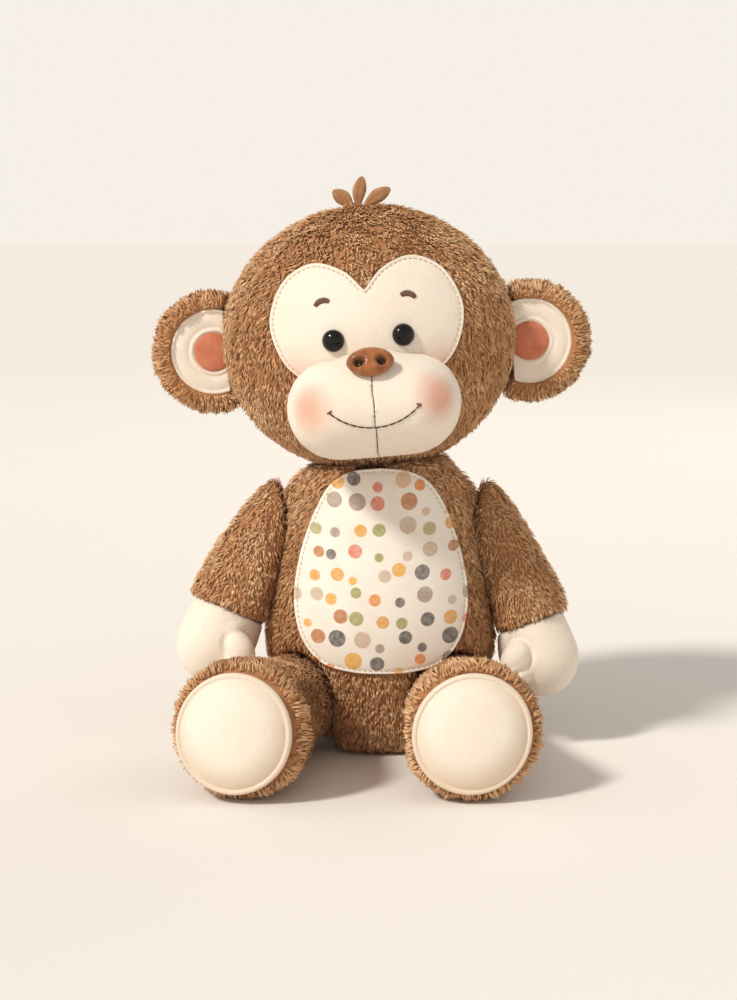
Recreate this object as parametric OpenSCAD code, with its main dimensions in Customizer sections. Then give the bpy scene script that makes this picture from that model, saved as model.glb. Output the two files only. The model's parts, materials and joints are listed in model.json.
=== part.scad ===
// Jointed plush monkey, sitting. It faces -Y, with +Z up and +X to the right of someone facing it.
// Left and right below are as seen from the front: left is -X.
// The origin is the centre of the flat seat, on the floor.
// Head, arms and legs turn on plastic doll joints: a disc with a stem inside the limb,
// and a washer with a lock ring inside the torso.

/* [Torso] */
// Radius of the torso at its widest
torso_r = 57.5; // [56.5:0.25:58]
// Height of the neck, where the head rests on the torso
neck_z = 135; // [133:0.5:137]
// Half width of the belly patch at its widest
belly_half_w = 41.5; // [38:0.5:42]
// Height of the belly patch's lower edge
belly_bottom_z = 44.5; // [42:0.5:50]

/* [Head] */
// Half width of the head
head_half_w = 73; // [71:0.5:75]
// Radius of the head seen from the side
head_r = 66.25; // [65:0.25:67]
// Lean of the head towards -X, in degrees
head_roll = 5; // [0:0.5:6]
// Radius of the muzzle's middle
muzzle_r = 27; // [25:0.5:28]
// Half width of the muzzle
muzzle_half_w = 42; // [40:0.5:44]
// Distance from the head's centre down to the muzzle's centre
muzzle_drop = 26.3; // [25:0.1:28]
// Outer radius of an ear
ear_r = 30; // [27:0.5:32]
// Diameter of an eye
eye_d = 10.5; // [9:0.5:12]
// Distance from the face's centre line to an eye
eye_x = 16.2; // [14:0.2:19]

/* [Arms] */
// Height of the shoulder joints
shoulder_z = 106; // [104:0.5:108]
// Radius of a sleeve at its cuff
cuff_r = 21.5; // [20:0.25:22]
// Radius of a hand
hand_r = 20; // [18:0.25:20.5]
// Distance from the middle to the left hand's centre
hand_left_x = 82; // [81:0.5:86]
// Height of the left hand's centre
hand_left_z = 51; // [49:0.5:54]
// Distance from the middle to the right hand's centre
hand_right_x = 79; // [78:0.5:84]
// Height of the right hand's centre
hand_right_z = 44; // [43:0.5:50]

/* [Legs] */
// Distance from the middle to the left hip
hip_left_x = 42; // [40:0.5:43]
// Distance from the middle to the right hip
hip_right_x = 36; // [35:0.5:38]
// Radius of a leg where it turns in the hip
leg_root_r = 22.8; // [22:0.1:23.4]
// Radius of a foot's rim
foot_r = 32; // [30:0.5:33]
// Distance from the middle to the left foot's centre
foot_left_x = 64; // [60:0.5:66]
// Distance from the middle to the right foot's centre
foot_right_x = 40; // [39:0.5:44]
// Radius of a sole
sole_r = 26.8; // [24:0.2:27.5]

/* [Tail] */
// Radius of the tail's tube
tail_r = 8; // [6:0.5:9]
// Radius of the tail's curl
tail_curl_r = 26; // [22:0.5:27]

/* [Hidden] */

$fn = 96;
eps = 0.05;          // gap between layers that are sewn together
run = 0.4;           // gap between parts that turn against each other
plush = 2.5;         // thickness of the plush with its pile
felt = 1.3;          // thickness of face, belly and ear fabrics
big = 400;           // size of a half space
hull_fn = 32;        // roundness inside a hull

LEFT = -1;
RIGHT = 1;

plush_brown = "#8a5a36";
cream = "#efe0cc";
peach = "#d9825f";
fibre = "#f7f7f2";
plastic = "#e9e6dc";
dark_thread = "#4a2a1a";
pellet_colour = "#b9c3c9";

// ---------- curves and frames ----------

// One point of the Catmull-Rom curve from b to c
function spline(a, b, c, d, t) =
    0.5 * (2 * b + (c - a) * t + (2 * a - 5 * b + 4 * c - d) * t * t
        + (3 * b - a - 3 * c + d) * t * t * t);

// Smooth curve through the points, with `steps` pieces between neighbours
function curve(p, steps = 3) = [
    for (i = [0 : len(p) - 2]) for (k = [0 : steps - 1])
        spline(p[max(i - 1, 0)], p[i], p[i + 1], p[min(i + 2, len(p) - 1)], k / steps),
    p[len(p) - 1]
];

// Quarter-by-quarter arc of an ellipse with its half sizes a across and b along, centred at height h
function arc(a, b, h, from, to, pieces) = [
    for (i = [0 : pieces]) let (w = from + (to - from) * i / pieces) [a * cos(w), h + b * sin(w)]
];

function mirrored(p) = [for (i = [len(p) - 1 : -1 : 0]) [-p[i][0], p[i][1]]];

// Puts local +Z along the line from a to b, with local zero at a
module along(a, b) {
    d = b - a;
    translate(a) rotate([0, acos(d[2] / norm(d)), atan2(d[1], d[0])]) children();
}

// Puts local +Z along world +X (side RIGHT) or -X (side LEFT), at a point
module sideways(point, side) { translate(point) rotate([0, side * 90, 0]) children(); }

// Half space on one side of a plane across X, Y or Z through `at`
module beyond(axis, at, side) {
    offset_by = at + side * big / 2;
    translate([axis == 0 ? offset_by : 0, axis == 1 ? offset_by : 0, axis == 2 ? offset_by : 0])
        cube(big, center = true);
}

module ring(outer_d, bore_d, thick) {
    difference() {
        cylinder(d = outer_d, h = thick);
        translate([0, 0, -1]) cylinder(d = bore_d, h = thick + 2);
    }
}

// Round-ended rod from a to b
module capsule(a, b, r) {
    along(a, b) rotate_extrude()
        polygon(concat(arc(r, r, 0, -90, 0, 8), arc(r, r, norm(b - a), 0, 90, 8)));
}

// ---------- head frame: origin at the head's centre, X across, Z up the face ----------

neck_pivot = [0, 0, neck_z];
head_lift = head_r + 0.25;

module neck_frame() { translate(neck_pivot) rotate([0, -head_roll, 0]) children(); }
module head_frame() { neck_frame() translate([0, 0, head_lift]) children(); }

// Head ball, wider than it is deep, grown by `grow` all round
module head_ball(grow = 0) {
    rotate([0, 90, 0]) rotate_extrude()
        polygon(arc(head_r + grow, head_half_w + grow, 0, -90, 90, 28));
}

// Skin of the head ball between two growths, kept where the outline stands in front of the face
module on_face(low, high) {
    intersection() {
        difference() {
            head_ball(high);
            head_ball(low);
        }
        rotate([90, 0, 0]) linear_extrude(big / 2) children();
    }
}

muzzle_y = -59;
muzzle_depth = 34;

cheek_r = muzzle_r - 1.5;
cheek_drop = 1.9;        // how much lower the cheeks' centres are than the muzzle's

// Egg round the Y axis, centred on the muzzle's plane at x and z
module muzzle_egg(x, z, r, inset) {
    translate([x, muzzle_y, z]) rotate([90, 0, 0]) rotate_extrude($fn = hull_fn)
        polygon(arc(r - inset, muzzle_depth - inset, 0, -90, 90, 16));
}

// A round middle with a lower cheek on each side
module muzzle_pad(inset = 0) {
    hull() {
        muzzle_egg(0, -muzzle_drop, muzzle_r, inset);
        for (side = [LEFT, RIGHT])
            muzzle_egg(side * (muzzle_half_w - cheek_r), -muzzle_drop - cheek_drop, cheek_r, inset);
    }
}

module muzzle_shell(side) {
    color(cream) head_frame() intersection() {
        difference() {
            muzzle_pad();
            muzzle_pad(felt);
            head_ball(felt + 2 * eps);
            nose_hole();
        }
        beyond(0, side * eps, side);
    }
}

// ---------- torso ----------

// Half of the torso's upright section: radius and height
torso_outline = [
    [36, 0], [43.5, 4.5], [47.8, 14], [51.8, 28], [torso_r - 1, 43], [torso_r, 57],
    [55.8, 75], [52, 91], [48, shoulder_z], [45.6, shoulder_z + 12], [42, shoulder_z + 22],
    [37, neck_z + 2], [31.5, neck_z + 11]
];

module torso_egg(inset) {
    side = curve(torso_outline, 2);
    rotate_extrude() polygon(concat(
        [[0, max(inset, 0)]],
        [for (p = side) [p[0] - inset, max(p[1], inset, 0)]],
        [[0, side[len(side) - 1][1]]]
    ));
}

// Room that the turning head needs: its section swept round the neck
module head_room(grow) {
    head_frame() rotate_extrude()
        polygon(concat(arc(head_half_w + grow, head_r + grow, 0, -90, 0, 20), [[0, 0]]));
}

shoulder_face = 44;      // distance from the middle to an arm's inner side at the shoulder axis
shoulder_lean = 0.29;    // how much further out the arm's inner side is, per millimetre from that axis
shoulder_flat_from = 48; // distance from the axis where the inner side stops leaning out
shoulder_reach = 125;
thigh_gap = 1.2;         // gap between a hand and the thigh it passes

// How far a thigh stands out past its hip's centre: distance from the shoulder axis, width there
// with the leg straight ahead, and how much of the leg's splay adds to it
thigh_side = [[60, 13, 0], [65, 19.3, 0.5], [70, 22.6, 4.5], [75, 24.6, 11], [80, 25.8, 17]];
function splay(side) = (abs(foot(side)[0]) - abs(hip(side)[0])) / abs(foot_y - hip_y);

// Solid of revolution about the shoulder axis that holds all of one arm, clear of torso and thigh
module arm_side(side, grow) {
    face = shoulder_face - grow;
    flat = face + shoulder_lean * shoulder_flat_from;
    past_thigh = [for (p = thigh_side)
        [p[0], max(flat, abs(hip(side)[0]) + p[1] + splay(side) * p[2] + thigh_gap - grow)]];
    last = past_thigh[len(past_thigh) - 1];
    sideways([0, 0, shoulder_z], side) rotate_extrude() polygon(concat(
        [[0, face], [shoulder_flat_from, flat], [thigh_side[0][0] - 1, flat]],
        past_thigh,
        [[shoulder_reach, last[1]], [shoulder_reach, big / 2], [0, big / 2]]
    ));
}

hip_y = -20;
hip_z = 24.5;
foot_y = -118;
foot_z = foot_r;
hip_left = [-hip_left_x, hip_y, hip_z];
hip_right = [hip_right_x, hip_y, hip_z];
foot_left = [-foot_left_x, foot_y, foot_z];
foot_right = [foot_right_x, foot_y, foot_z];
function hip(side) = side == LEFT ? hip_left : hip_right;
function foot(side) = side == LEFT ? foot_left : foot_right;

hip_face = 18;       // distance from a hip's centre to the leg's flat inner face
hip_face_r = 14;     // radius of that flat face
leg_lift = 4;        // how far a leg rises above its seat, in degrees
leg_down = 90;       // how far it goes down to stand

// Solid of revolution about the hip axis that holds all of one leg
module leg_side(side, grow) {
    face = hip_face + grow;
    sideways(hip(side), -side) mirror([0, 0, 0]) rotate_extrude() polygon([
        [0, face], [hip_face_r, face], [30, face + 4.4], [140, face + 9],
        [140, -big / 4], [0, -big / 4]
    ]);
}

// Round section of the leg about its own line, from the hip's centre to past the sole
leg_length = norm(foot_right - hip_right);
sole_front = 11;     // how far the sole's middle is past the foot's centre
leg_curve = curve([
    [leg_root_r, 0], [leg_root_r + 0.6, 24], [26, 52], [29.6, 74], [foot_r, leg_length - 8],
    [foot_r, leg_length], [foot_r - 1.6, leg_length + 5], [foot_r - 4.4, leg_length + 7]
], 2);

sole_seat = leg_length + 4.5;   // where the sole's back lies, along the leg's line

module leg_round(inset) {
    root = arc(leg_root_r - inset, leg_root_r - inset, 0, -90, -8, 8);
    rim = [[sole_r + 0.1, leg_length + 6], [sole_r + 0.1, sole_seat], [0, sole_seat]];
    end = sole_seat - inset;
    rotate_extrude() polygon(inset == 0
        ? concat(root, leg_curve, rim)
        : concat(root, [for (p = leg_curve) if (p[1] < end - 3) [p[0] - inset, p[1]]],
            [[foot_r - inset, end], [0, end]]));
}

module leg_frame(side) { along(hip(side), foot(side)) children(); }

module turned_leg(side, degrees) {
    translate(hip(side)) rotate([degrees, 0, 0]) translate(-hip(side)) children();
}

module on_leg_side(side, grow) {
    intersection() {
        leg_side(side, grow);
        children();
    }
}

// Room that a leg needs over its whole travel: the ball, the leg at both ends, and what lies between
module leg_room(side, grow) {
    more = run + grow;
    on_leg_side(side, more) translate(hip(side)) sphere(leg_root_r + more);
    for (turn = [-leg_lift, leg_down])
        on_leg_side(side, more) turned_leg(side, turn) leg_frame(side)
            cylinder(r1 = leg_root_r - 0.3 + more, r2 = 29.5 + more, h = 60);
    on_leg_side(side, more) translate([side * 40 - 60, hip_y - 80, hip_z - 60]) cube([120, 80, 60]);
}

tail_root = [0, 54, 9.4];

shoulder_bulge_x = 34;
shoulder_bulge_z = 121;
shoulder_bulge_r = 15;

module torso_solid(inset) {
    difference() {
        union() {
            torso_egg(inset);
            for (side = [LEFT, RIGHT])
                translate([side * shoulder_bulge_x, 0, shoulder_bulge_z]) sphere(shoulder_bulge_r - inset);
        }
        head_room(run + inset);
        for (side = [LEFT, RIGHT]) {
            arm_side(side, run + inset);
            leg_room(side, inset);
        }
        translate(tail_root) sphere(tail_r + 1 + run + inset);
    }
}

// Stem holes of every joint, at a clearance that lets the stems turn
module torso_stem_holes() {
    neck_frame() translate([0, 0, -12]) cylinder(d = neck_stem_d + 2 * run, h = 20);
    for (side = [LEFT, RIGHT]) {
        sideways([0, 0, shoulder_z], side) translate([0, 0, 34])
            cylinder(d = shoulder_stem_d + 2 * run, h = 14);
        sideways(hip(side), -side) translate([0, 0, 14]) cylinder(d = hip_stem_d + 2 * run, h = 22);
    }
}

module torso_shell() {
    difference() {
        torso_solid(0);
        torso_solid(plush);
        torso_stem_holes();
    }
}

seat_top = plush;

module torso_front_panel() {
    color(plush_brown) intersection() {
        torso_shell();
        beyond(1, -eps, LEFT);
        beyond(2, seat_top + eps, RIGHT);
    }
}

module torso_back_panel() {
    color(plush_brown) intersection() {
        torso_shell();
        beyond(1, eps, RIGHT);
        beyond(2, seat_top + eps, RIGHT);
    }
}

module seat_panel() {
    color(plush_brown) intersection() {
        torso_solid(0);
        beyond(2, seat_top, LEFT);
    }
}

// Half outline of the belly patch, from its lower middle up to its upper middle
belly_outline = [
    [0, belly_bottom_z], [14, belly_bottom_z], [29, belly_bottom_z + 3.5],
    [belly_half_w - 3.2, belly_bottom_z + 15], [belly_half_w, belly_bottom_z + 33],
    [belly_half_w - 3, belly_bottom_z + 53], [32.5, belly_bottom_z + 71],
    [25.5, belly_bottom_z + 87], [21, belly_bottom_z + 94]
];

module belly_patch() {
    half = curve(belly_outline, 3);
    color(cream) difference() {
        intersection() {
            difference() {
                torso_egg(-felt);
                torso_egg(-eps);
            }
            rotate([90, 0, 0]) linear_extrude(big / 2) polygon(concat(half, mirrored(half)));
        }
        head_room(run);
        for (side = [LEFT, RIGHT]) {
            arm_side(side, run);
            leg_room(side, 0);
        }
    }
}

bean_centre = [0, 23, 25];
bean_r = 20;

module joint_pockets() {
    neck_frame() translate([0, 0, -14]) cylinder(d = neck_washer_d + 1, h = 14);
    for (side = [LEFT, RIGHT]) {
        sideways([0, 0, shoulder_z], side) translate([0, 0, 34]) cylinder(d = shoulder_disc_d + 1, h = 8);
        sideways(hip(side), -side) translate([0, 0, 20]) cylinder(d = hip_disc_d + 1, h = 14.5);
    }
}

module torso_filling() {
    color(fibre) difference() {
        torso_solid(plush + eps);
        joint_pockets();
        translate(bean_centre) sphere(bean_r + eps);
    }
}

module bean_bag() {
    color(cream) difference() {
        translate(bean_centre) sphere(bean_r);
        translate(bean_centre) sphere(bean_r - 0.8);
    }
}

module bean_pellets() { color(pellet_colour) translate(bean_centre) sphere(bean_r - 0.8 - eps); }

// ---------- doll joints ----------

neck_disc_d = 34;
neck_washer_d = 34;
neck_stem_d = 8;
neck_disc_low = 5.4;      // height of the disc's underside above the neck pivot
neck_washer_top = -3.3;

shoulder_disc_d = 12;
shoulder_stem_d = 5;
hip_disc_d = 25;
hip_stem_d = 6;
disc_t = 2;
washer_t = 2;
ring_t = 2.5;
stem_tip = 1;            // how far a stem stands past its lock ring

module neck_joint_disc() {
    color(plastic) neck_frame() {
        translate([0, 0, neck_disc_low]) cylinder(d = neck_disc_d, h = disc_t);
        low = neck_washer_top - washer_t - ring_t - 3 * eps - stem_tip;
        translate([0, 0, low]) cylinder(d = neck_stem_d, h = neck_disc_low + disc_t - low);
    }
}

module neck_washer() {
    color(plastic) neck_frame() translate([0, 0, neck_washer_top - washer_t])
        ring(neck_washer_d, neck_stem_d + 2 * run, washer_t);
}

module neck_lock_ring() {
    color(plastic) neck_frame() translate([0, 0, neck_washer_top - washer_t - ring_t - 2 * eps])
        ring(16, neck_stem_d, ring_t);
}

// The limb's disc with its stem. Local +Z points from the torso's inside out into the limb.
module limb_disc(disc_d, stem_d, disc_at, stem_from) {
    translate([0, 0, disc_at]) cylinder(d = disc_d, h = disc_t);
    translate([0, 0, stem_from]) cylinder(d = stem_d, h = disc_at + disc_t - stem_from);
}

shoulder_disc_at = shoulder_face + shoulder_lean * shoulder_disc_d / 2 + 1.05 * plush + 3 * eps;
shoulder_washer_at = shoulder_face - run - plush - 3 * eps - washer_t;
shoulder_ring_at = shoulder_washer_at - 2 * eps - ring_t;

module shoulder_frame(side) { sideways([0, 0, shoulder_z], side) children(); }

module shoulder_disc(side) {
    color(plastic) shoulder_frame(side)
        limb_disc(shoulder_disc_d, shoulder_stem_d, shoulder_disc_at, shoulder_ring_at - stem_tip);
}

module shoulder_lock_ring(side) {
    color(plastic) shoulder_frame(side) translate([0, 0, shoulder_ring_at])
        ring(10, shoulder_stem_d, ring_t);
}

module shoulder_washers() {
    color(plastic) for (side = [LEFT, RIGHT]) shoulder_frame(side)
        translate([0, 0, shoulder_washer_at]) ring(shoulder_disc_d, shoulder_stem_d + 2 * run, washer_t);
}

// Hip hardware, measured from a hip's centre towards the torso's middle
hip_disc_in = hip_face - plush - 3 * eps;              // the disc's inner side, in the leg
hip_washer_in = hip_face + run + plush + 3 * eps;      // the washer's outer side, in the torso
hip_ring_in = hip_washer_in + washer_t + 2 * eps;

module hip_frame(side) { sideways(hip(side), -side) children(); }

module hip_disc(side) {
    color(plastic) hip_frame(side) {
        translate([0, 0, hip_disc_in - disc_t]) cylinder(d = hip_disc_d - 3, h = disc_t);
        translate([0, 0, hip_disc_in - disc_t])
            cylinder(d = hip_stem_d, h = hip_ring_in + ring_t + stem_tip - hip_disc_in + disc_t);
    }
}

module hip_lock_ring(side) {
    color(plastic) hip_frame(side) translate([0, 0, hip_ring_in]) ring(12, hip_stem_d, ring_t);
}

module hip_washers() {
    color(plastic) for (side = [LEFT, RIGHT]) hip_frame(side)
        translate([0, 0, hip_washer_in]) ring(hip_disc_d, hip_stem_d + 2 * run, washer_t);
}

// ---------- head pieces ----------

module head_skin() {
    difference() {
        head_ball();
        head_ball(-plush);
        translate([0, 0, -head_r - 2]) cylinder(d = neck_stem_d + 0.2, h = 10);
        eye_holes();
        nose_hole();
    }
}

module head_front_panel() {
    color(plush_brown) head_frame() intersection() {
        head_skin();
        beyond(1, -eps, LEFT);
    }
}

module head_back_panel() {
    color(plush_brown) head_frame() intersection() {
        head_skin();
        beyond(1, eps, RIGHT);
    }
}

module head_filling() {
    color(fibre) head_frame() difference() {
        head_ball(-plush - eps);
        translate([0, 0, -head_r]) cylinder(d = neck_disc_d + 1, h = neck_disc_low + disc_t + 0.6);
        for (side = [LEFT, RIGHT])
            eye_frame(side) translate([0, 0, -7.5]) cylinder(d = eye_washer_d + 1, h = 12);
        nose_hole();
    }
}

// Half outline of the heart-shaped face, from its upper middle down to its lower middle
face_outline = [
    [0, 25], [9, 34.5], [23, 39], [37, 32], [44.8, 16], [43, 1], [35.5, -11], [20, -20], [0, -23]
];

module face_patch() {
    half = curve(face_outline, 3);
    color(cream) head_frame() difference() {
        on_face(eps, felt) polygon(concat(half, mirrored(half)));
        eye_holes();
    }
}

module muzzle_left_panel() { muzzle_shell(LEFT); }
module muzzle_right_panel() { muzzle_shell(RIGHT); }

module muzzle_filling() {
    color(fibre) head_frame() difference() {
        muzzle_pad(felt + eps);
        head_ball(felt + 2 * eps);
        nose_hole();
        nose_frame() translate([0, 0, nose_washer_at - 0.2])
            cylinder(d = nose_washer_d + 0.6, h = nose_washer_t + 0.4);
    }
}

eye_z = 3.4;
eye_stem_d = 3;
eye_washer_d = 9;

// Local +Z points out of the face at an eye, with local zero on the face patch's front
module eye_frame(side) {
    depth = head_r * sqrt(1 - pow(eye_x / head_half_w, 2) - pow(eye_z / head_r, 2));
    lean = asin(eye_x * head_r / (head_half_w * head_half_w));
    translate([side * eye_x, -depth, eye_z]) rotate([90, 0, side * lean]) translate([0, 0, felt]) children();
}

module eye_holes() {
    for (side = [LEFT, RIGHT]) eye_frame(side)
        translate([0, 0, -8]) cylinder(d = eye_stem_d + 0.1, h = 9);
}

eye_dome_h = 4.2;

module eye(side) {
    color("black") head_frame() eye_frame(side) {
        rotate_extrude() polygon(concat([[0, 0.25]], arc(eye_d / 2, eye_dome_h, 0.25, 0, 90, 10)));
        translate([0, 0, -7]) cylinder(d = eye_stem_d, h = 8);
    }
}

module eye_left() { eye(LEFT); }
module eye_right() { eye(RIGHT); }

module eye_washers() {
    color(plastic) head_frame() for (side = [LEFT, RIGHT]) eye_frame(side)
        translate([0, 0, -6.2]) ring(eye_washer_d, eye_stem_d, 1.4);
}

nose_z = -6.5;
nose_half_w = 10.5;
nose_y = -86;            // front of the muzzle's pad behind the nose
nose_tilt = 38;          // the nose's own line, up from level

module nose_frame() { translate([0, nose_y, nose_z]) rotate([90 - nose_tilt, 0, 0]) children(); }
module nose_hole() { nose_frame() translate([0, 0, -11]) cylinder(d = 4.2, h = 14); }

module nose() {
    color("#6b3a22") head_frame() nose_frame() {
        difference() {
            hull() {
                for (side = [LEFT, RIGHT])
                    translate([side * (nose_half_w - 5), 1.6, 1.4]) sphere(5, $fn = hull_fn);
                translate([0, -3.6, 1.4]) sphere(4, $fn = hull_fn);
            }
            beyond(2, -1, LEFT);
        }
        translate([0, 0, -10]) cylinder(d = 4, h = 10);
    }
}

nose_washer_d = 12;
nose_washer_t = 1.5;
nose_washer_at = -8.5;   // where the washer is on the nose's stem

module nose_washer() {
    color(plastic) head_frame() nose_frame() translate([0, 0, nose_washer_at])
        ring(nose_washer_d, 4, nose_washer_t);
}

brow_x = 19.2;
brow_z = 17.6;
brow_r = 4.6;
brow_w = 2;

module brows() {
    color(dark_thread) head_frame() on_face(felt + eps, felt + 0.9) for (side = [LEFT, RIGHT])
        translate([side * brow_x, brow_z]) rotate(-side * 14) intersection() {
            difference() {
                circle(brow_r + brow_w / 2);
                circle(brow_r - brow_w / 2);
            }
            polygon([[0, 0], [-9, 9], [9, 9]]);
        }
}

mouth_r = 29;
mouth_z = -7;            // height of the smile's centre, from the head's centre
stitch_w = 0.9;

module mouth_stitch() {
    color(dark_thread) head_frame() intersection() {
        difference() {
            muzzle_pad(-0.6);
            muzzle_pad(-eps);
        }
        translate([0, muzzle_y, 0]) rotate([90, 0, 0]) linear_extrude(big / 2) intersection() {
            translate([0, mouth_z]) difference() {
                circle(mouth_r + stitch_w / 2);
                circle(mouth_r - stitch_w / 2);
            }
            translate([0, mouth_z]) polygon([[0, 0], [-40, -40], [40, -40]]);
        }
    }
}

leaf_l = 15;
leaf_w = 7;
leaf_t = 3.4;

// Three felt leaves on the crown
module hair_tuft() {
    color("#a06c42") head_frame() difference() {
        for (lean = [-34, 4, 52]) rotate([0, lean * 0.11, 0]) translate([0, 0, head_r - 1])
            rotate([0, lean, 0]) translate([0, 0, leaf_l / 2]) scale([leaf_w / leaf_l, leaf_t / leaf_l, 1])
                sphere(leaf_l / 2);
        head_ball(eps);
    }
}

ear_left_x = 77;
ear_right_x = 78.8;
ear_right_z = -8;
ear_half_t = 7;
ear_floor = 2.4;         // height of the hollow's floor in front of the ear's middle plane
ear_hollow_r = 21;

module ear_frame(side) {
    at = side == LEFT ? [-ear_left_x, 1, 0] : [ear_right_x, 1, ear_right_z];
    translate(at) rotate([90, 0, 0]) children();
}

module ear_round(inset) {
    rim = ear_half_t - inset;
    rim_r = ear_r - ear_half_t;
    hollow = ear_hollow_r + 0.1 + inset;
    rotate_extrude() polygon(concat(
        [[0, -rim]],
        arc(1, 1, 0, -90, 90, 10) * rim + [for (i = [0 : 10]) [rim_r, 0]],
        [[hollow, ear_floor + 1.5 - inset], [hollow, ear_floor - inset], [0, ear_floor - inset]]
    ));
}

module ear_disc(side, r, low, high) {
    head_frame() difference() {
        ear_frame(side) translate([0, 0, low]) cylinder(r = r, h = high - low);
        head_ball(2 * eps);
    }
}

module ear_cover(side) {
    color(plush_brown) head_frame() difference() {
        ear_frame(side) ear_round(0);
        ear_frame(side) ear_round(1.5);
        head_ball(2 * eps);
    }
}

module ear_padding(side) {
    color(fibre) head_frame() difference() {
        ear_frame(side) ear_round(1.5 + eps);
        head_ball(2 * eps);
    }
}

module ear_lining(side) { color(cream) ear_disc(side, ear_hollow_r, ear_floor + eps, ear_floor + felt); }
module ear_centre(side) { color(peach) ear_disc(side, 10.5, ear_floor + felt + eps, ear_floor + 2 * felt); }

// ---------- arms ----------

arm_top_y = 2;
arm_top_z = 124;
arm_top_x = 50;
hand_y = -17;
hand_left = [-hand_left_x, hand_y, hand_left_z];
hand_right = [hand_right_x, hand_y, hand_right_z];
function hand(side) = side == LEFT ? hand_left : hand_right;
function arm_top(side) = [side * arm_top_x, arm_top_y, arm_top_z];
function arm_length(side) = norm(hand(side) - arm_top(side));
cuff_back = 18;          // distance from the hand's centre back to the cuff's edge
thumb_r = 7;
sleeve_top = -6.5;       // where a sleeve's closed end is, along the arm's line

module arm_frame(side) { along(arm_top(side), hand(side)) children(); }

module sleeve_round(side, inset) {
    cuff = arm_length(side) - cuff_back;
    side_curve = curve([
        [6, -5], [10.5, 3], [15.3, 20], [cuff_r - 1.5, cuff - 21], [cuff_r, cuff - 6],
        [cuff_r, cuff - 2], [cuff_r - 1.6, cuff]
    ], 2);
    rotate_extrude() polygon(concat(
        [[0, sleeve_top + inset]],
        [for (p = side_curve)
            [max(p[0] - inset, 0.5), min(max(p[1], sleeve_top + 1.5 * inset), cuff - inset)]],
        [[0, cuff - inset]]
    ));
}

module sleeve_solid(side, inset) {
    intersection() {
        arm_frame(side) sleeve_round(side, inset);
        arm_side(side, -inset);
    }
}

module shoulder_holes(side) {
    shoulder_frame(side) translate([0, 0, 40]) cylinder(d = shoulder_stem_d + 0.2, h = 8);
}

module arm_sleeve(side) {
    color(plush_brown) difference() {
        sleeve_solid(side, 0);
        sleeve_solid(side, plush);
        shoulder_holes(side);
    }
}

module arm_filling(side) {
    color(fibre) difference() {
        sleeve_solid(side, plush + eps);
        shoulder_frame(side) translate([0, 0, 40]) cylinder(d = shoulder_disc_d + 0.6, h = 12);
    }
}

// Mitten: a round hand with a thumb on its inner side
module hand_solid(side, inset) {
    start = arm_length(side) - cuff_back + 2 * eps + inset;
    end = arm_length(side);
    r = hand_r - inset;
    intersection() {
        union() {
            arm_frame(side) rotate_extrude() polygon(concat(
                [[0, start], [r - 1.2, start], [r - 0.3, end - 9]],
                arc(r, r, end, 0, 90, 10)
            ));
            capsule(hand(side) + [-side * 10, -13, 7], hand(side) + [-side * 12.5, -17, -4],
                    thumb_r - inset);
        }
        arm_side(side, -inset);
    }
}

module hand_cover(side) {
    color(cream) difference() {
        hand_solid(side, 0);
        hand_solid(side, felt);
    }
}

module hand_filling(side) { color(fibre) hand_solid(side, felt + eps); }

// ---------- legs ----------

module leg_solid(side, inset) {
    intersection() {
        leg_frame(side) leg_round(inset);
        leg_side(side, -inset);
    }
}

module leg_cover(side) {
    color(plush_brown) difference() {
        leg_solid(side, 0);
        leg_solid(side, plush);
        hip_frame(side) translate([0, 0, 12]) cylinder(d = hip_stem_d + 0.2, h = 12);
    }
}

module leg_filling(side) {
    color(fibre) difference() {
        leg_solid(side, plush + eps);
        hip_frame(side) translate([0, 0, hip_disc_in - disc_t - 0.3]) cylinder(d = hip_disc_d - 2, h = 12);
    }
}

module sole(side) {
    color(cream) leg_frame(side) translate([0, 0, leg_length + 4.5 + eps]) rotate_extrude()
        polygon(concat([[0, 0], [sole_r, 0]], arc(sole_r, sole_front - 6.5, 1.6, 0, 90, 10)));
}

// ---------- tail ----------

tail_turn = 185;

module tail_solid(inset) {
    r = tail_r - inset;
    translate(tail_root) sphere(r + 1);
    translate(tail_root + [tail_curl_r, 0, 0]) rotate([0, 0, 180 - tail_turn]) {
        rotate_extrude(angle = tail_turn) translate([tail_curl_r, 0]) circle(r);
        translate([tail_curl_r, 1, 0]) sphere(r - 0.1);
    }
}

module tail_cover() {
    color(plush_brown) difference() {
        tail_solid(0);
        tail_solid(plush);
    }
}

module tail_filling() { color(fibre) tail_solid(plush + eps); }

torso_front_panel();
torso_back_panel();
seat_panel();
belly_patch();
torso_filling();
bean_bag();
bean_pellets();
neck_washer();
shoulder_washers();
hip_washers();
head_front_panel();
head_back_panel();
head_filling();
face_patch();
muzzle_left_panel();
muzzle_right_panel();
muzzle_filling();
nose();
nose_washer();
eye_left();
eye_right();
eye_washers();
brows();
mouth_stitch();
hair_tuft();
ear_cover(LEFT);  // ear_left_cover
ear_padding(LEFT);  // ear_left_padding
ear_lining(LEFT);  // ear_left_lining
ear_centre(LEFT);  // ear_left_centre
ear_cover(RIGHT);  // ear_right_cover
ear_padding(RIGHT);  // ear_right_padding
ear_lining(RIGHT);  // ear_right_lining
ear_centre(RIGHT);  // ear_right_centre
neck_joint_disc();
neck_lock_ring();
arm_sleeve(LEFT);  // arm_left_sleeve
arm_filling(LEFT);  // arm_left_filling
hand_cover(LEFT);  // hand_left_cover
hand_filling(LEFT);  // hand_left_filling
shoulder_disc(LEFT);  // shoulder_left_disc
shoulder_lock_ring(LEFT);  // shoulder_left_lock_ring
arm_sleeve(RIGHT);  // arm_right_sleeve
arm_filling(RIGHT);  // arm_right_filling
hand_cover(RIGHT);  // hand_right_cover
hand_filling(RIGHT);  // hand_right_filling
shoulder_disc(RIGHT);  // shoulder_right_disc
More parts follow.
